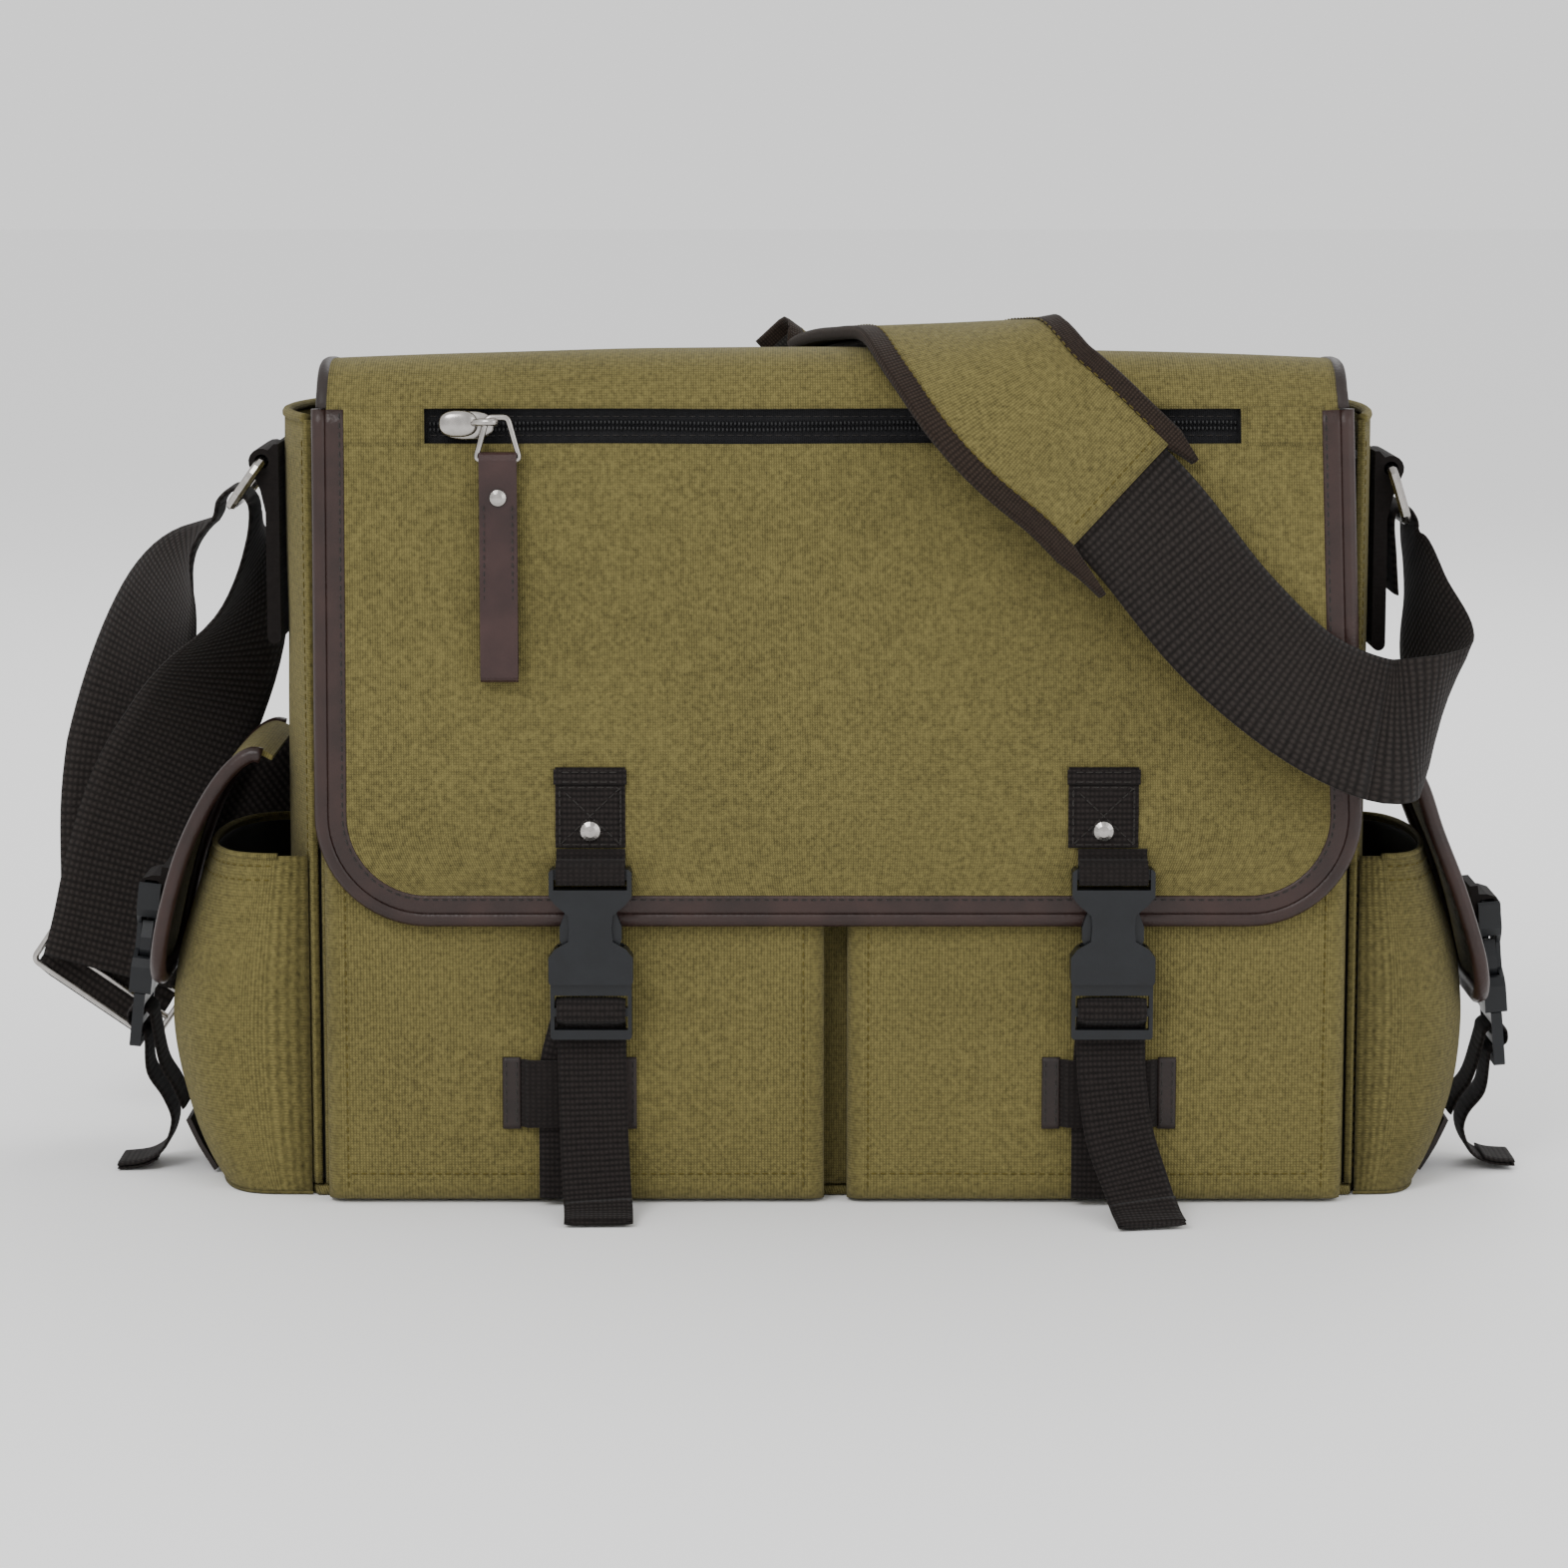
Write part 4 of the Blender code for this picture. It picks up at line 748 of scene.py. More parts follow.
def make_flap():
    width = FLAP_RIGHT - FLAP_LEFT
    left, right = flap_sides(275 * MM)
    zip_us = [(ZIP_LEFT - left) / (right - left), (ZIP_RIGHT - left) / (right - left)]
    steps = spread(0.0, zip_us[0], 10) + spread(zip_us[0], zip_us[1], 76) + spread(zip_us[1], 1.0, 10)
    us = sorted(set(steps))
    vs = list(range(len(FLAP_ROWS)))
    zip_rows = [i for i, p in enumerate(FLAP_ROWS)
                if p.y < -60 * MM and ZIP_LOW - 1e-6 <= p.z <= ZIP_HIGH + 1e-6]

    def keep(u, v):
        return not (zip_us[0] < u < zip_us[1] and zip_rows[0] < v < zip_rows[-1])

    mesh = sheet_mesh(flap_place, us, vs, FLAP_T, keep=keep)
    lengths = reach_along(FLAP_ROWS)
    for entry in mesh.uv_layers["UVMap"].data:
        row = min(int(entry.uv[1]), len(lengths) - 1)
        entry.uv = (entry.uv[0] * width, lengths[row])
    publish("flap_cloth", mesh, CANVAS, "flap", ["flap_top_panel", "flap_front_panel"])

    def inside(u, v):
        x, _, z = flap_place(u, v)
        return (x * 0.97, FLAP_FACE + 2.3 * MM, z + 3 * MM)

    first = zip_rows[-1] + 2
    mesh = sheet_mesh(inside, us, list(range(first, len(FLAP_ROWS) - 1)), 0.5 * MM)
    publish("flap_lining_cloth", mesh, LINING, "flap", ["flap_lining"])
    make_flap_seams(zip_us)
    make_flap_binding()
    make_flap_hinge()


def make_flap_hinge():
    """The canvas fold that joins the back panel to the flap."""
    fold = catmull([Vector((0, y * MM, z * MM)) for y, z in HINGE_LINE], 4)

    def place(u, v):
        point = fold[min(int(round(v)), len(fold) - 1)]
        return (FLAP_LEFT + 4 * MM + (FLAP_RIGHT - FLAP_LEFT - 13 * MM) * u, point.y, point.z)

    mesh = sheet_mesh(place, spread(0, 1, 90), list(range(len(fold))), 0.8 * MM)
    stretch_uv(mesh, 0.36, 0.0008)
    piece = publish("flap_hinge_cloth", mesh, CANVAS, None)
    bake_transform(piece)


def flap_line(u0, u1, v0, v1, count=150, lift=0.15 * MM):
    return line_on(flap_place, [(u0, v0), (u1, v1)], count, lift)


def row_at(z):
    """The row of the hanging part at a height."""
    hanging = [(i, p) for i, p in enumerate(FLAP_ROWS) if p.y < -60 * MM and p.z < 285 * MM]
    for (i, a), (_, b) in zip(hanging, hanging[1:]):
        if a.z >= z >= b.z and a.z > b.z:
            return i + (a.z - z) / (a.z - b.z)
    return float(hanging[-1][0])


def make_flap_seams(zip_us):
    """Topstitching round the zip and the small stitched end pieces beside it."""
    above, below = row_at(283.0 * MM), row_at(267.0 * MM)
    rows = [flap_line(0.02, 0.98, above, above), flap_line(0.02, 0.98, below, below)]
    for u in (zip_us[0] - 0.008, zip_us[1] + 0.008):
        rows.append(flap_line(u, u, above, below, 12))
    rows.append(flap_line(0.02, zip_us[0] - 0.02, row_at(275.5 * MM), row_at(275.5 * MM), 30))
    rows.append(flap_line(zip_us[1] + 0.02, 0.98, row_at(275.5 * MM), row_at(275.5 * MM), 30))
    rows.append(flap_line(0.02, 0.98, 7, 7))
    stitch("flap_stitch", rows, "flap")
    fold = row_at(284.6 * MM)
    crease = flap_line(0.01, 0.99, fold, fold, 90, 0.1 * MM)
    publish("flap_seam_roll", tube_mesh(crease, 0.75 * MM), CANVAS, "flap")
    for name, a, b in (("left", 0.012, zip_us[0] - 0.004), ("right", zip_us[1] + 0.004, 0.985)):
        top, bottom = row_at(282.5 * MM), row_at(268.5 * MM)
        us, vs = spread(a, b, 12), spread(top, bottom, 6)

        def patch(u, v):
            point = Vector(flap_place(u, v))
            return point + Vector((0, -0.9 * MM, 0))

        mesh = sheet_mesh(patch, us, vs, 0.8 * MM)
        stretch_uv(mesh, 0.354, 0.003)
        publish("zip_end_" + name, mesh, CANVAS, "flap")
        near, far, high, low = a + 0.006, b - 0.004, top + 0.7, bottom - 0.7
        edge = [(near, high), (far, high), (far, low), (near, low)]
        stitch("zip_end_stitch_" + name, [line_on(patch, edge, 16, 0.12 * MM)], "flap")


def binding_path():
    """Down the flap's left edge, round its two lower corners and up its right edge."""
    y, past, top, turn_z = FLAP_FACE + 0.8 * MM, 2.4 * MM, 281 * MM, FLAP_BOTTOM + FLAP_CORNER
    left, right = flap_sides(turn_z)

    def corner(x, first):
        turns = [math.radians(first + 90 * k / 16) for k in range(1, 17)]
        reach = FLAP_CORNER + past
        return [Vector((x + reach * math.cos(a), y, turn_z + reach * math.sin(a))) for a in turns]

    points = [Vector((flap_sides(z)[0] - past, y, z)) for z in spread(top, turn_z, 24)]
    points += corner(left + FLAP_CORNER, 180)
    hem = spread(points[-1].x, right - FLAP_CORNER, 30)[1:]
    points += [Vector((x, y, FLAP_BOTTOM - past)) for x in hem]
    points += corner(right - FLAP_CORNER, 270)
    points += [Vector((flap_sides(z)[1] + past, y, z)) for z in spread(turn_z, top, 24)[1:]]
    return points


def make_flap_binding():
    path = binding_path()
    publish("flap_piping", tube_mesh(path, 3.0 * MM, 14, 0.92, face=(0, -1, 0)), LEATHER,
            "flap", ["flap_binding"])
    inner = []
    for i, point in enumerate(path):
        ahead = (path[min(i + 1, len(path) - 1)] - path[max(i - 1, 0)]).normalized()
        inward = Vector((-ahead.z, 0, ahead.x))
        inner.append((point, inward if inward.dot(Vector((0, 0, 0.2)) - point) > 0 else -inward))
    frames = [(p + n * 5.2 * MM + Vector((0, -2.3 * MM, 0)), n, Vector((0, -1, 0))) for p, n in inner]
    publish("flap_binding_leaf", band_mesh(frames, 6.4 * MM, 1.0 * MM), LEATHER, "flap")
    thread = [p + n * 7.0 * MM + Vector((0, -2.9 * MM, 0)) for p, n in inner]
    stitch("flap_binding_stitch", [thread], "flap", THREAD_DARK)
    for side, column in (("left", 0), ("right", 1)):
        out = OUTWARD[side]

        def top_edge(past, rise, lowest):
            return [Vector((flap_sides(min(p.z, 290 * MM))[column] + out * past, p.y,
                            p.z + rise - top_sag(column, p.y, p.z))) for p in FLAP_ROWS if p.z > lowest]

        mesh = tube_mesh(top_edge(1.2 * MM, 0.1 * MM, 280 * MM), 2.5 * MM, 12, 0.8)
        publish("flap_top_binding_" + side, mesh, LEATHER_DARK, "flap")
        frames = band_frames([(p / MM, (1, 0, 0)) for p in top_edge(-2.8 * MM, 0, 279 * MM)], 1)
        mesh = band_mesh(frames, 8.2 * MM, 1.0 * MM, lift=-1.1 * MM)
        publish("flap_top_leaf_" + side, mesh, LEATHER, "flap")


def ball(bm, at, size):
    """A swell of metal: a ball stretched to its three half-sizes, flatter than it's round."""
    made = bmesh.ops.create_uvsphere(bm, u_segments=28, v_segments=14, radius=1)["verts"]
    for vert in made:
        here = Vector([math.copysign(abs(c) ** 0.8, c) for c in vert.co])
        vert.co = Vector(at) + Vector([c * s for c, s in zip(here, size)])


def joined(meshes, bm=None):
    """One mesh from several, added to bm where that is given."""
    bm = bm or bmesh.new()
    for mesh in meshes:
        bm.from_mesh(mesh)
        bpy.data.meshes.remove(mesh)
    return mesh_from(bm)


def rounded_loop(corners, radius, steps=6):
    """A closed line through the corners, each turned with a radius."""
    points = []
    count = len(corners)
    for i, corner in enumerate(corners):
        before = (corners[i - 1] - corner).normalized() * radius
        after = (corners[(i + 1) % count] - corner).normalized() * radius
        for k in range(steps + 1):
            t = k / steps
            points.append(corner + before * (1 - t) ** 2 + after * t ** 2)
    return points


def make_zip_slider():
    """The slider with its domed crown, the bridge on it and the wire bail that hangs there."""
    bm = bmesh.new()
    ball(bm, (-126.6 * MM, -69.3 * MM, 275.6 * MM), (9.4 * MM, 2.0 * MM, 5.0 * MM))
    ball(bm, (-129.6 * MM, -70.9 * MM, 276.2 * MM), (6.8 * MM, 2.6 * MM, 4.6 * MM))
    bridge = catmull([Vector(p) * MM for p in ((-125.5, -71.0, 276.4), (-121.6, -74.6, 277.0),
                                               (-117.4, -74.9, 277.0), (-116.6, -71.2, 276.4))], 8)
    bridge_mesh = tube_mesh(bridge, 1.3 * MM, 12)
    publish("slider_body", joined([bridge_mesh], bm), NICKEL, "zip_slider", ["zip_slider"])
    wire = ((-119.6, 278.5), (-112.4, 278.5), (-108.4, 264), (-123.6, 264))
    corners = [Vector((x, -73.1, z)) * MM for x, z in wire]
    publish("slider_bail", tube_mesh(rounded_loop(corners, 1.8 * MM), 1.05 * MM, 12, closed=True),
            NICKEL, "zip_bail", ["zip_bail"])


def make_zip():
    depth = -66.1 * MM
    middle = (ZIP_LOW + ZIP_HIGH) / 2

    def tape(u, v):
        return (u, depth + 0.25 * MM * soft_noise(u, v, 60), v)

    mesh = sheet_mesh(tape, spread(ZIP_LEFT - 4 * MM, ZIP_RIGHT + 4 * MM, 90),
                      spread(ZIP_LOW - 1.5 * MM, 282 * MM, 8), 0.5 * MM)
    publish("zip_tape_cloth", mesh, ZIP_CLOTH, "flap", ["zip_tape"])
    start, stop = ZIP_LEFT + 1 * MM, ZIP_RIGHT - 1 * MM
    rows = []
    for shift in (-1.05 * MM, 1.05 * MM):
        rows.append([Vector((x, depth - 0.75 * MM, middle + shift + 0.3 * MM * math.sin(x * 60)))
                     for x in spread(start, stop, 220)])
    mesh = mesh_from(dashes(rows, 0.85 * MM, 0.55 * MM, 0.85 * MM))
    publish("zip_teeth", mesh, ZIP, "flap", ["zip_coil"])
    seams = [[Vector((x, depth - 0.3 * MM, middle + shift)) for x in spread(start, stop, 120)]
             for shift in (-3.3 * MM, 3.3 * MM)]
    stitch("zip_stitch", seams, "flap", THREAD_DARK, 0.2 * MM)
    make_zip_slider()


# ---------------------------------------------------------------- front tabs, keepers and straps

TAB_X = {"left": -85.1, "right": 93.5}
BUCKLE_AT = {"left": (-85.0, -74.6, 81.5), "right": (96.8, -74.6, 81.5)}
KEEPER_X = {"left": -93.1, "right": 96.6}


def make_front_tab(side):
    x = TAB_X[side]
    stations = [((x, -70.0, z), (1, 0, 0)) for z in (128.6, 135, 142, 149, 156.8)]
    publish("tab_webbing_" + side, band_mesh(band_frames(stations, 4), 24.4 * MM, 2.2 * MM),
            WEB, "flap", ["flap_tab_" + side])
    strip = [((x, -71.35, z), (1, 0, 0)) for z in (151.0, 153.6, 156.2)]
    publish("tab_trim_" + side, band_mesh(band_frames(strip, 4), 25.4 * MM, 0.9 * MM),
            WEB, "flap")
    y = -71.3 * MM
    low, high, half = 129.8 * MM, 150 * MM, 10.6 * MM
    turns = ((-1, low), (1, low), (1, high), (-1, high), (-1, low), (1, high), (1, low), (-1, high))
    box = [Vector((x * MM + half * k, y, z)) for k, z in turns]
    stitch("tab_stitch_" + side, [[a.lerp(b, k / 12) for a, b in zip(box, box[1:]) for k in range(12)]],
           "flap", THREAD_DARK)
    trim = [[Vector((x * MM + t, -72.0 * MM, z)) for t in spread(-half, half, 12)]
            for z in (152 * MM, 155.4 * MM)]
    stitch("tab_trim_stitch_" + side, trim, "flap", THREAD_DARK)


def make_keeper_trim(side):
    x = KEEPER_X[side]
    for name, shift in (("a", -20.4), ("b", 20.4)):
        stations = [((x + shift, -66.0, z), (1, 0, 0)) for z in (27.6, 34, 40.4, 46.8, 53.2)]
        mesh = band_mesh(band_frames(stations, 3), 6.4 * MM, 0.9 * MM)
        publish(f"keeper_trim_{side}_{name}", mesh, LEATHER_DARK, "bag")
    paths = [[Vector(((x + shift) * MM, -66.6 * MM, z)) for z in spread(28.6 * MM, 52.2 * MM, 16)]
             for shift in (-22.4, -18.6, 18.6, 22.4)]
    stitch("keeper_stitch_" + side, paths, "bag", THREAD_DARK)


# Stations in millimetres: x, y and z. WRAP has depth and height in the buckle's own frame, TAIL_LEAN how
# far the width direction tips at each station of a front tail, and SIDE_BUCKLE x, z and lean in degrees.
WRAP = ((5.6, -21), (5.2, -11.5), (3.8, -7.4), (0.2, -5.9), (-3.3, -7.6), (-3.4, -11.6), (-0.2, -13.7),
        (2.9, -15.4), (3.5, -19), (3.5, -23))
FRONT_RISE = {
    "left": ((-92, -66.2, 2.5), (-92, -66.2, 22), (-92, -66.2, 41), (-91.4, -66.2, 51), (-89.5, -66.8, 59)),
    "right": ((95.6, -66.4, 2.5), (95.6, -66.4, 22), (95.6, -66.4, 42), (96.2, -66.5, 55)),
}
FRONT_TAIL = {
    "left": ((-84.8, -71.6, 45), (-84.2, -74.5, 26), (-83.2, -80.5, 11), (-82.3, -89, 3), (-82, -98, 1.2)),
    "right": ((97.4, -71.8, 45), (100, -75.5, 27), (105, -84, 12), (108, -92.5, 3.8), (109.7, -102, 1.2)),
}
TAIL_LEAN = {"left": (0, 0, 0, 0, 0), "right": (0, -0.12, -0.2, -0.08, 0)}
SIDE_TAIL = {
    "left": ((-249.3, 0, 36), (-243.8, 0, 27), (-240.8, 0, 18), (-244, 0, 8), (-251, 0, 3),
             (-261, 0, 1.6)),
    "right": ((237.3, 0, 29), (231.5, 0, 21), (230.0, 0, 14), (233.5, 0, 6), (240, 0, 2.4), (249, 0, 1.6)),
}
SIDE_RISE = {
    "left": ((-236.6, 0, 22.5), (-240.2, 0, 31), (-244.6, 0, 39)),
    "right": ((225.2, 0, 20.5), (228.2, 0, 27), (232.6, 0, 33.5)),
}
SIDE_BUCKLE = {"left": (-251.2, 66.0, 6.5), "right": (240.6, 59.0, 5.0)}


def buckle_place(where, side):
    """A buckle's own frame in the bag's: its joint line at z 0 and its face towards -Y."""
    if where == "front":
        return Matrix.Translation(Vector(BUCKLE_AT[side]) * MM)
    x, z, lean = SIDE_BUCKLE[side]
    turn = Matrix.Rotation(math.radians(90 * OUTWARD[side]), 4, "Z")
    tip = Matrix.Rotation(math.radians(-lean * OUTWARD[side]), 4, "Y")
    return Matrix.Translation((x * MM, 0, z * MM)) @ tip @ turn


def wrap_stations(place):
    across = place.to_3x3() @ Vector((1, 0, 0))
    return [(place @ (Vector((0, y, z)) * MM) / MM, across) for y, z in WRAP]


def folded_end(name, frames, width):
    """The tip of a strap, turned back on itself."""
    mesh = band_mesh(frames[-8:], width * 0.99, 1.3 * MM, lift=1.25 * MM)
    return publish(name, mesh, WEB, None)


def make_front_strap(side):
    stations = [(p, (1, 0, 0)) for p in FRONT_RISE[side]]
    wrap = wrap_stations(buckle_place("front", side))[1:]
    if side == "left":
        wrap[0] = (wrap[0][0] + Vector((-1.6, 0, 0)), wrap[0][1])
        wrap[1] = (wrap[1][0] + Vector((-0.5, 0, 0)), wrap[1][1])
    stations += wrap
    stations += [(p, (1, 0, lean)) for p, lean in zip(FRONT_TAIL[side], TAIL_LEAN[side])]
    frames = band_frames(stations, 5)
    mesh = band_mesh(frames, 24 * MM, 1.4 * MM)
    piece = publish("strap_webbing_" + side, mesh, WEB, None, ["front_strap_" + side])
    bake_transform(piece)
    end = folded_end("strap_tip_" + side, frames, 24 * MM)
    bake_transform(end)


def make_side_strap(side):
    place = buckle_place("side", side)
    stations = [(p, (0, 1, 0)) for p in SIDE_RISE[side]]
    stations += [(p, (0, 1, 0)) for p, _ in wrap_stations(place)[1:-1]]
    stations += [(p, (0, 1, 0)) for p in SIDE_TAIL[side]]
    frames = band_frames(stations, 5)
    piece = publish("side_webbing_" + side, band_mesh(frames, 24 * MM, 1.4 * MM), WEB,
                    None, ["side_strap_" + side])
    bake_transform(piece)
    end = folded_end("side_tip_" + side, frames, 24 * MM)
    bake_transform(end)


# ---------------------------------------------------------------- side-pocket flaps

SIDE_PROFILE = {
    "left": ((198.6, 154.5), (206, 157), (214.5, 151), (223.5, 138), (231.5, 121), (237.5, 101), (240.6, 86),
             (242, 76)),
    "right": ((193.6, 155), (201, 156.5), (208, 146), (214, 129), (222, 109), (228.5, 89), (231.3, 77),
              (232.4, 69)),
}
SIDE_FLAP_HALF = 37 * MM
SIDE_CORNER = 17 * MM


def side_spine(side, steps=8, extra=0.0):
    line = catmull([Vector((OUTWARD[side] * x, 0, z)) * MM for x, z in SIDE_PROFILE[side]], steps)
    if extra:
        line.append(line[-1] + (line[-1] - line[-2]).normalized() * extra)
    return line, reach_along(line)


def half_width_at(along, length, half, corner):
    left = length - along
    if left >= corner:
        return half
    return half - corner + math.sqrt(max(0.0, corner ** 2 - (corner - left) ** 2))


def make_side_flap(side):
    out = OUTWARD[side]
    body = "side_flap_" + side
    line, lengths = side_spine(side)

    def place(u, v):
        row = min(int(v), len(line) - 2)
        point = line[row].lerp(line[row + 1], v - row)
        along = lengths[row] + (lengths[row + 1] - lengths[row]) * (v - row)
        half = half_width_at(along, lengths[-1], SIDE_FLAP_HALF, SIDE_CORNER)
        ripple = 0.7 * MM * soft_noise(u * 0.1, point.z, 24, 2 * out) * min(1.0, along / (30 * MM))
        return (point.x + out * (0.8 * MM + min(0.5 * MM, ripple)), u * half, point.z)

    us, vs = spread(-1.0, 1.0, 32), list(range(len(line)))
    if out < 0:
        us.reverse()
    mesh = sheet_mesh(place, us, vs, 1.7 * MM)
    for entry in mesh.uv_layers["UVMap"].data:
        entry.uv = (entry.uv[0] * SIDE_FLAP_HALF, lengths[min(int(entry.uv[1]), len(lengths) - 1)])
    publish("side_flap_cloth_" + side, mesh, PANEL_SHADE[side], body, ["side_flap_" + side])
    away = 2.6 * MM
    rim_line, rim_lengths = side_spine(side, 8, away)
    edge = [(p, half_width_at(a, rim_lengths[-1], SIDE_FLAP_HALF + away, SIDE_CORNER + away))
            for p, a in list(zip(rim_line, rim_lengths))[5:]]
    path = [p + Vector((0, -h, 0)) for p, h in edge] + [p + Vector((0, h, 0)) for p, h in reversed(edge)]
    publish("side_piping_" + side, tube_mesh(path, 2.8 * MM, 12), LEATHER, body,
            ["side_binding_" + side])
    rows = []
    proud = Vector((out * 0.2 * MM, 0, 0))
    for k in (-0.9, 0.9):
        rows.append([Vector(place(k, v)) + proud for v in spread(4, len(line) - 8, 60)])
    rows.append([Vector(place(k, 5.0)) + proud for k in spread(-0.9, 0.9, 40)])
    stitch("side_flap_stitch_" + side, rows, body)
    make_side_tab(side)


def make_side_tab(side):
    """The webbing patch on the flap's outside, running down into the buckle's loop."""
    out = OUTWARD[side]
    line, _ = side_spine(side)
    low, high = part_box("side_tab_" + side)
    chosen = [p for p in line if low.z - 1 * MM < p.z < high.z + 1 * MM]
    stations = [((p + Vector((out * 2.9 * MM, 0, 0.6 * MM))) / MM, (0, 1, 0)) for p in chosen]
    mesh = band_mesh(band_frames(stations, 3), 24.2 * MM, 2.0 * MM)
    publish("side_tab_webbing_" + side, mesh, WEB, "side_flap_" + side, ["side_tab_" + side])


# ---------------------------------------------------------------- shoulder strap and pad

STRAP_WIDTH, STRAP_T = 50 * MM, 1.7 * MM
STRAP_STEPS = 6
STRAP_ROUTE = (
    ((-273.2, 56.6, 60.5), (0.82, 0, -0.57)), ((-269.0, 56.2, 76), (0.90, 0, -0.42)),
    ((-262.0, 53.5, 104), (0.94, 0.05, -0.30)), ((-252.0, 49.5, 131), (0.92, 0.15, -0.36)),
    ((-236.0, 41, 160), (0.80, 0.45, -0.38)), ((-220.0, 25, 191), (0.50, 0.82, -0.25)),
    ((-211.5, 5, 219), (0.12, 0.99, 0)), ((-208.3, 0, 235), (0, 1, 0)), ((-208.8, 0, 244.0), (0, 1, 0)),
    ((-214.3, 0, 248.6), (0, 1, 0)), ((-219.6, 0, 244.6), (0, 1, 0)), ((-221.3, 0, 238.5), (0, 1, 0)),
    ((-226.8, 1.5, 231.5), (-0.03, 1, 0.02)), ((-237.5, 13, 216), (-0.54, 0.74, 0.38)),
    ((-250.0, 38, 193), (-0.80, 0.42, 0.42)), ((-259.5, 55, 162), (-0.92, 0.20, 0.30)),
    ((-265.0, 61.3, 126), (-0.98, 0, 0.12)), ((-266.0, 62.6, 95), (-1, 0, 0.03)),
    ((-266.4, 63.2, 78), (-1, 0, 0.04)), ((-268.2, 63.5, 68.0), (-0.95, 0, 0.30)),
    ((-272.0, 63.5, 60), (-0.82, 0, 0.57)), ((-276.0, 63.5, 54.3), (-0.82, 0, 0.57)),
    ((-278.0, 63.5, 51.4), (-0.82, 0, 0.57)), ((-279.0, 63.5, 50.0), (-0.82, 0, 0.57)),
    ((-280.4, 64.5, 48.0), (-0.82, 0, 0.57)), ((-281.0, 67, 47.1), (-0.82, 0, 0.57)),
    ((-280.4, 69.5, 48.0), (-0.82, 0, 0.57)), ((-279.0, 70.5, 50.0), (-0.82, 0, 0.57)),
    ((-277.3, 70.7, 52.5), (-0.82, 0, 0.57)), ((-273.9, 70.7, 57.4), (-0.82, 0, 0.57)),
    ((-268.0, 70.5, 65.8), (-0.81, 0, 0.58)), ((-255.0, 69, 80), (-0.76, 0, 0.65)),
    ((-235.0, 66, 99), (-0.69, 0, 0.72)),
    ((-180.0, 58, 139), (-0.66, 0, 0.75)), ((-110.0, 56, 196), (-0.66, 0, 0.75)),
    ((-38.0, 57, 246), (-0.70, 0, 0.72)), ((-6.0, 60, 273), (-0.90, -0.04, 0.40)),
    ((10.5, 58.5, 289), (-0.97, -0.16, 0.07)), ((19.0, 38, 298), (-0.97, -0.25, 0.02)),
    ((30.0, -8, 303), (-0.93, -0.36, 0.02)), ((40.0, -42, 306), (-0.90, -0.42, -0.05)),
    ((49.0, -67.5, 300), (-0.90, -0.30, -0.30)), ((63.0, -83, 283), (-0.86, -0.30, -0.40)),
    ((86.0, -85, 262.5), (-0.86, -0.38, -0.34)), ((107.0, -85.5, 241), (-0.79, -0.38, -0.48)),
    ((132.5, -85.5, 209.5), (-0.62, -0.41, -0.67)), ((160.0, -87, 185), (-0.47, -0.48, -0.73)),
    ((187.0, -84, 172), (-0.38, -0.34, -0.86)), ((203.5, -75, 172), (-0.34, -0.20, -0.92)),
    ((212.0, -59, 175.5), (-0.30, -0.10, -0.94)), ((213.5, -40, 186), (-0.35, 0.45, -0.80)),
    ((210.0, -20, 203), (-0.22, 0.86, -0.42)), ((208.8, -6, 219), (-0.06, 0.98, -0.12)),
    ((207.6, -1, 230), (0, 1, 0)), ((206.9, 0, 238.5), (0, 1, 0)), ((203.2, 0, 242.9), (0, 1, 0)),
    ((198.8, 0, 239.8), (0, 1, 0)), ((199.5, 0, 226), (0, 1, 0)), ((200.5, 0, 212), (0, 1, 0)),
)
PAD_FIRST, PAD_LAST = 36, 43
OVER_FIRST, OVER_LAST = 35, 47      # stations between which the strap lies on the flap
GATHER_AT, GATHER = 10.5, 0.4


def gathered(count):
    """The webbing gathers where it turns in the left ring."""
    stations = [i / STRAP_STEPS for i in range(count)]
    return [1 - GATHER * max(0.0, min(1.0, (5.0 - abs(at - GATHER_AT)) / 3.0)) for at in stations]


def along_flap(piece):
    """Bakes the placing of a piece of the strap over the flap into its mesh."""
    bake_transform(piece)
    return piece


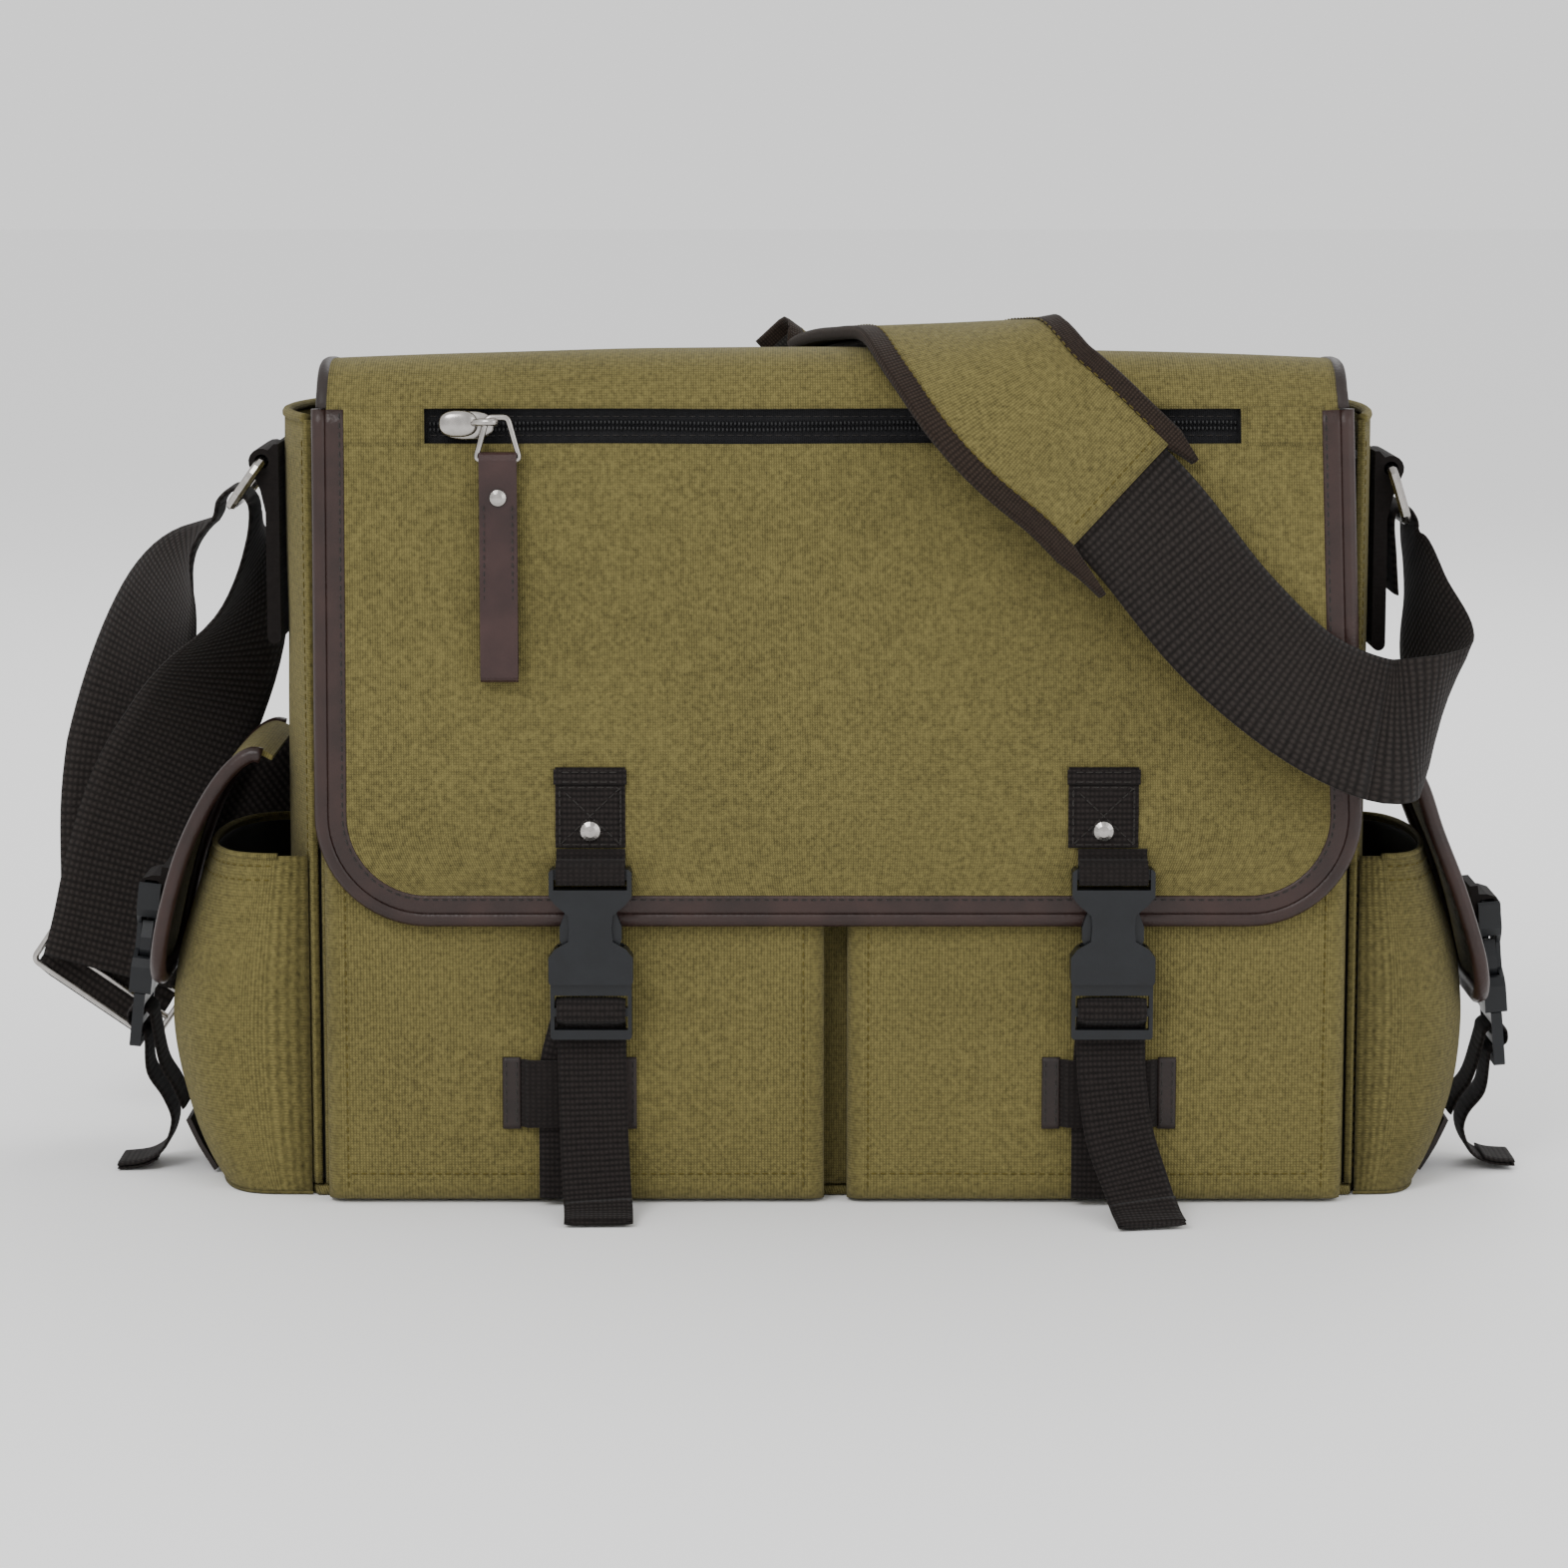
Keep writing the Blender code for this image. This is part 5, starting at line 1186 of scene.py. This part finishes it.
def make_shoulder_strap():
    frames = band_frames(STRAP_ROUTE, STRAP_STEPS)
    shares = gathered(len(frames))
    first, last = OVER_FIRST * STRAP_STEPS, OVER_LAST * STRAP_STEPS
    runs = (("strap_rear", 0, first), ("strap_over", first, last), ("strap_front", last, len(frames) - 1))
    for name, start, stop in runs:
        mesh = band_mesh(frames[start:stop + 1], STRAP_WIDTH, STRAP_T, shares=shares[start:stop + 1])
        body = "bag" if name == "strap_rear" else None
        piece = publish(name, mesh, WIDE, body, ["shoulder_strap"])
        if name == "strap_over":
            along_flap(piece)
        if name == "strap_front":
            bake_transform(piece)
    start, end = PAD_FIRST * STRAP_STEPS, PAD_LAST * STRAP_STEPS + 4
    pad = frames[start:end]
    centre, _, face = pad[len(pad) // 2]
    inside = 1 if face.dot(Vector((0, 0, 0.15)) - centre) > 0 else -1
    mesh = band_mesh(pad, 55 * MM, 3.2 * MM, lift=inside * 3.1 * MM, columns=12)
    foam = publish("pad_foam", mesh, PADDING, None, ["pad_cushion"])
    along_flap(foam)
    mesh = band_mesh(pad, 56 * MM, 1.3 * MM, lift=-inside * 2.4 * MM, columns=14)
    along_flap(publish("pad_canvas", mesh, CANVAS, None, ["pad_cover"]))
    for name, sign, extra in (("left", 1, 4), ("right", -1, 2)):
        edge = frames[start:end + extra]
        taper = [1.0] * len(pad) + [1 - 0.8 * (k + 1) / extra for k in range(extra)]
        mesh = band_mesh(edge, 8.4 * MM, 4.6 * MM, lift=-inside * 1.0 * MM,
                         shift=sign * 29.0 * MM, shares=taper)
        along_flap(publish("pad_edge_" + name, mesh, TWILL, None, ["pad_tape_" + name]))
    rows = [[c + f * (-inside * 3.4 * MM) + w * sign * 25.8 * MM for c, w, f in pad[1:-1]]
            for sign in (1, -1)]
    c, w, f = pad[-2]
    rows.append([c + f * (-inside * 3.15 * MM) + w * t for t in spread(-23 * MM, 23 * MM, 24)])
    along_flap(stitch("pad_stitch", rows, None))


# ---------------------------------------------------------------- hardware from the frame

def dress(node, material, edge=0.0):
    """A frame part that stays: its material, and edges rounded as they are moulded or cut."""
    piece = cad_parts[node]
    piece.data.materials.clear()
    piece.data.materials.append(material)
    if edge:
        bevel = piece.modifiers.new("edges", "BEVEL")
        bevel.width = edge
        bevel.segments = 2
        bevel.limit_method = "ANGLE"
        bevel.angle_limit = math.radians(38)
        bevel.harden_normals = False


def make_strap_slider():
    """The wire slider that the shoulder webbing folds round."""
    along = Vector((0.82, 0, -0.57)).normalized()
    up = Vector((0.57, 0, 0.82)).normalized()
    centre = Vector((-273.4, 59.9, 57.5)) * MM
    signs = ((-1, -1), (1, -1), (1, 1), (-1, 1))
    corners = [centre + along * a * 27.4 * MM + up * b * 10.4 * MM for a, b in signs]
    frame_mesh = tube_mesh(rounded_loop(corners, 3 * MM), 1.2 * MM, 12, closed=True)
    bar = tube_mesh([centre + along * a * MM for a in (-27.4, 0, 27.4)], 1.15 * MM, 12)
    publish("slider_frame", joined([frame_mesh, bar]), NICKEL, "strap_slider", ["strap_slider"])


RING_TAB_FACE = {"left": -201.4 * MM, "right": 196.2 * MM}


def dress_hardware():
    for side in SIDES:
        for where in ("front", "side"):
            dress(f"{where}_female_{side}", PLASTIC, 0.35 * MM)
            dress(f"{where}_male_{side}", PLASTIC, 0.3 * MM)
        dress("front_loop_" + side, WEB_FRONT, 0.25 * MM)
        dress("side_loop_" + side, WEB_SIDE, 0.25 * MM)
        dress("strap_keeper_" + side, WEB_FRONT, 0.2 * MM)
        dress("ring_tab_" + side, WEB_SIDE, 0.8 * MM)
        dress("side_anchor_" + side, LEATHER_DARK, 0.3 * MM)
        dress("ring_" + side, NICKEL)
        dress("tab_rivet_" + side, NICKEL)
        low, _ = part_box("ring_tab_" + side)
        rows = [[Vector((RING_TAB_FACE[side], y, low.z + rise)) for y in spread(-21 * MM, 21 * MM, 20)]
                for rise in (4 * MM, 26 * MM, 44 * MM)]
        stitch("ring_tab_stitch_" + side, rows, "bag", THREAD_DARK)
    make_strap_slider()
    dress("pull_rivet", NICKEL)
    dress("leather_pull", PULL_HIDE, 0.35 * MM)
    low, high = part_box("leather_pull")
    rows = [[Vector((x, low.y + 1.05 * MM, z)) for z in spread(low.z + 8 * MM, high.z - 18 * MM, 30)]
            for x in (low.x + 1.6 * MM, high.x - 1.6 * MM)]
    stitch("pull_stitch", rows, "zip_pull", THREAD_DARK, 0.22 * MM, 1.8 * MM)


# ---------------------------------------------------------------- stage

def area_light(name, at, towards, size, power, colour=(1, 1, 1)):
    lamp = bpy.data.lights.new(name, "AREA")
    lamp.shape = "DISK"
    lamp.size = size
    lamp.energy = power
    lamp.color = colour
    made = add_object(name, lamp)
    made.location = at
    made.rotation_euler = (Vector(towards) - Vector(at)).to_track_quat("-Z", "Y").to_euler()


def make_stage():
    bm = bmesh.new()
    bmesh.ops.create_grid(bm, x_segments=1, y_segments=1, size=12)
    mesh = bpy.data.meshes.new("floor")
    bm.to_mesh(mesh)
    bm.free()
    floor = add_object("floor", mesh)
    mesh.materials.append(Look("floor_paper", (0.94, 0.94, 0.94), 0.9, shine=0.1).material)
    floor.location.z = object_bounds()[0].z - 0.2 * MM
    world = bpy.data.worlds.new("studio")
    world.use_nodes = True
    background = world.node_tree.nodes["Background"]
    background.inputs["Color"].default_value = (1, 1, 1, 1)
    background.inputs["Strength"].default_value = 1.15
    bpy.context.scene.world = world
    area_light("key", (-0.9, -1.7, 1.7), (0, 0, 0.15), 1.1, 26)
    area_light("fill", (1.5, -1.2, 0.8), (0, 0, 0.15), 1.4, 9)
    area_light("rim", (0.3, 1.5, 1.6), (0, 0, 0.2), 1.2, 12)


def make_camera():
    data = bpy.data.cameras.new("camera")
    data.sensor_width = 36
    data.lens = 105.53
    made = add_object("camera", data)
    made.location = (-0.0177072, -1.650425, 0.387180)
    made.rotation_euler = (math.radians(90 - 8.5), 0, 0)
    bpy.context.scene.camera = made


make_camera()
make_panels()
make_flap()
make_zip()
make_shoulder_strap()
for each in SIDES:
    make_gusset(each)
    make_front_pocket(each)
    make_side_pocket(each)
    make_front_tab(each)
    make_keeper_trim(each)
    make_front_strap(each)
    make_side_flap(each)
    make_side_strap(each)
dress_hardware()
make_stage()
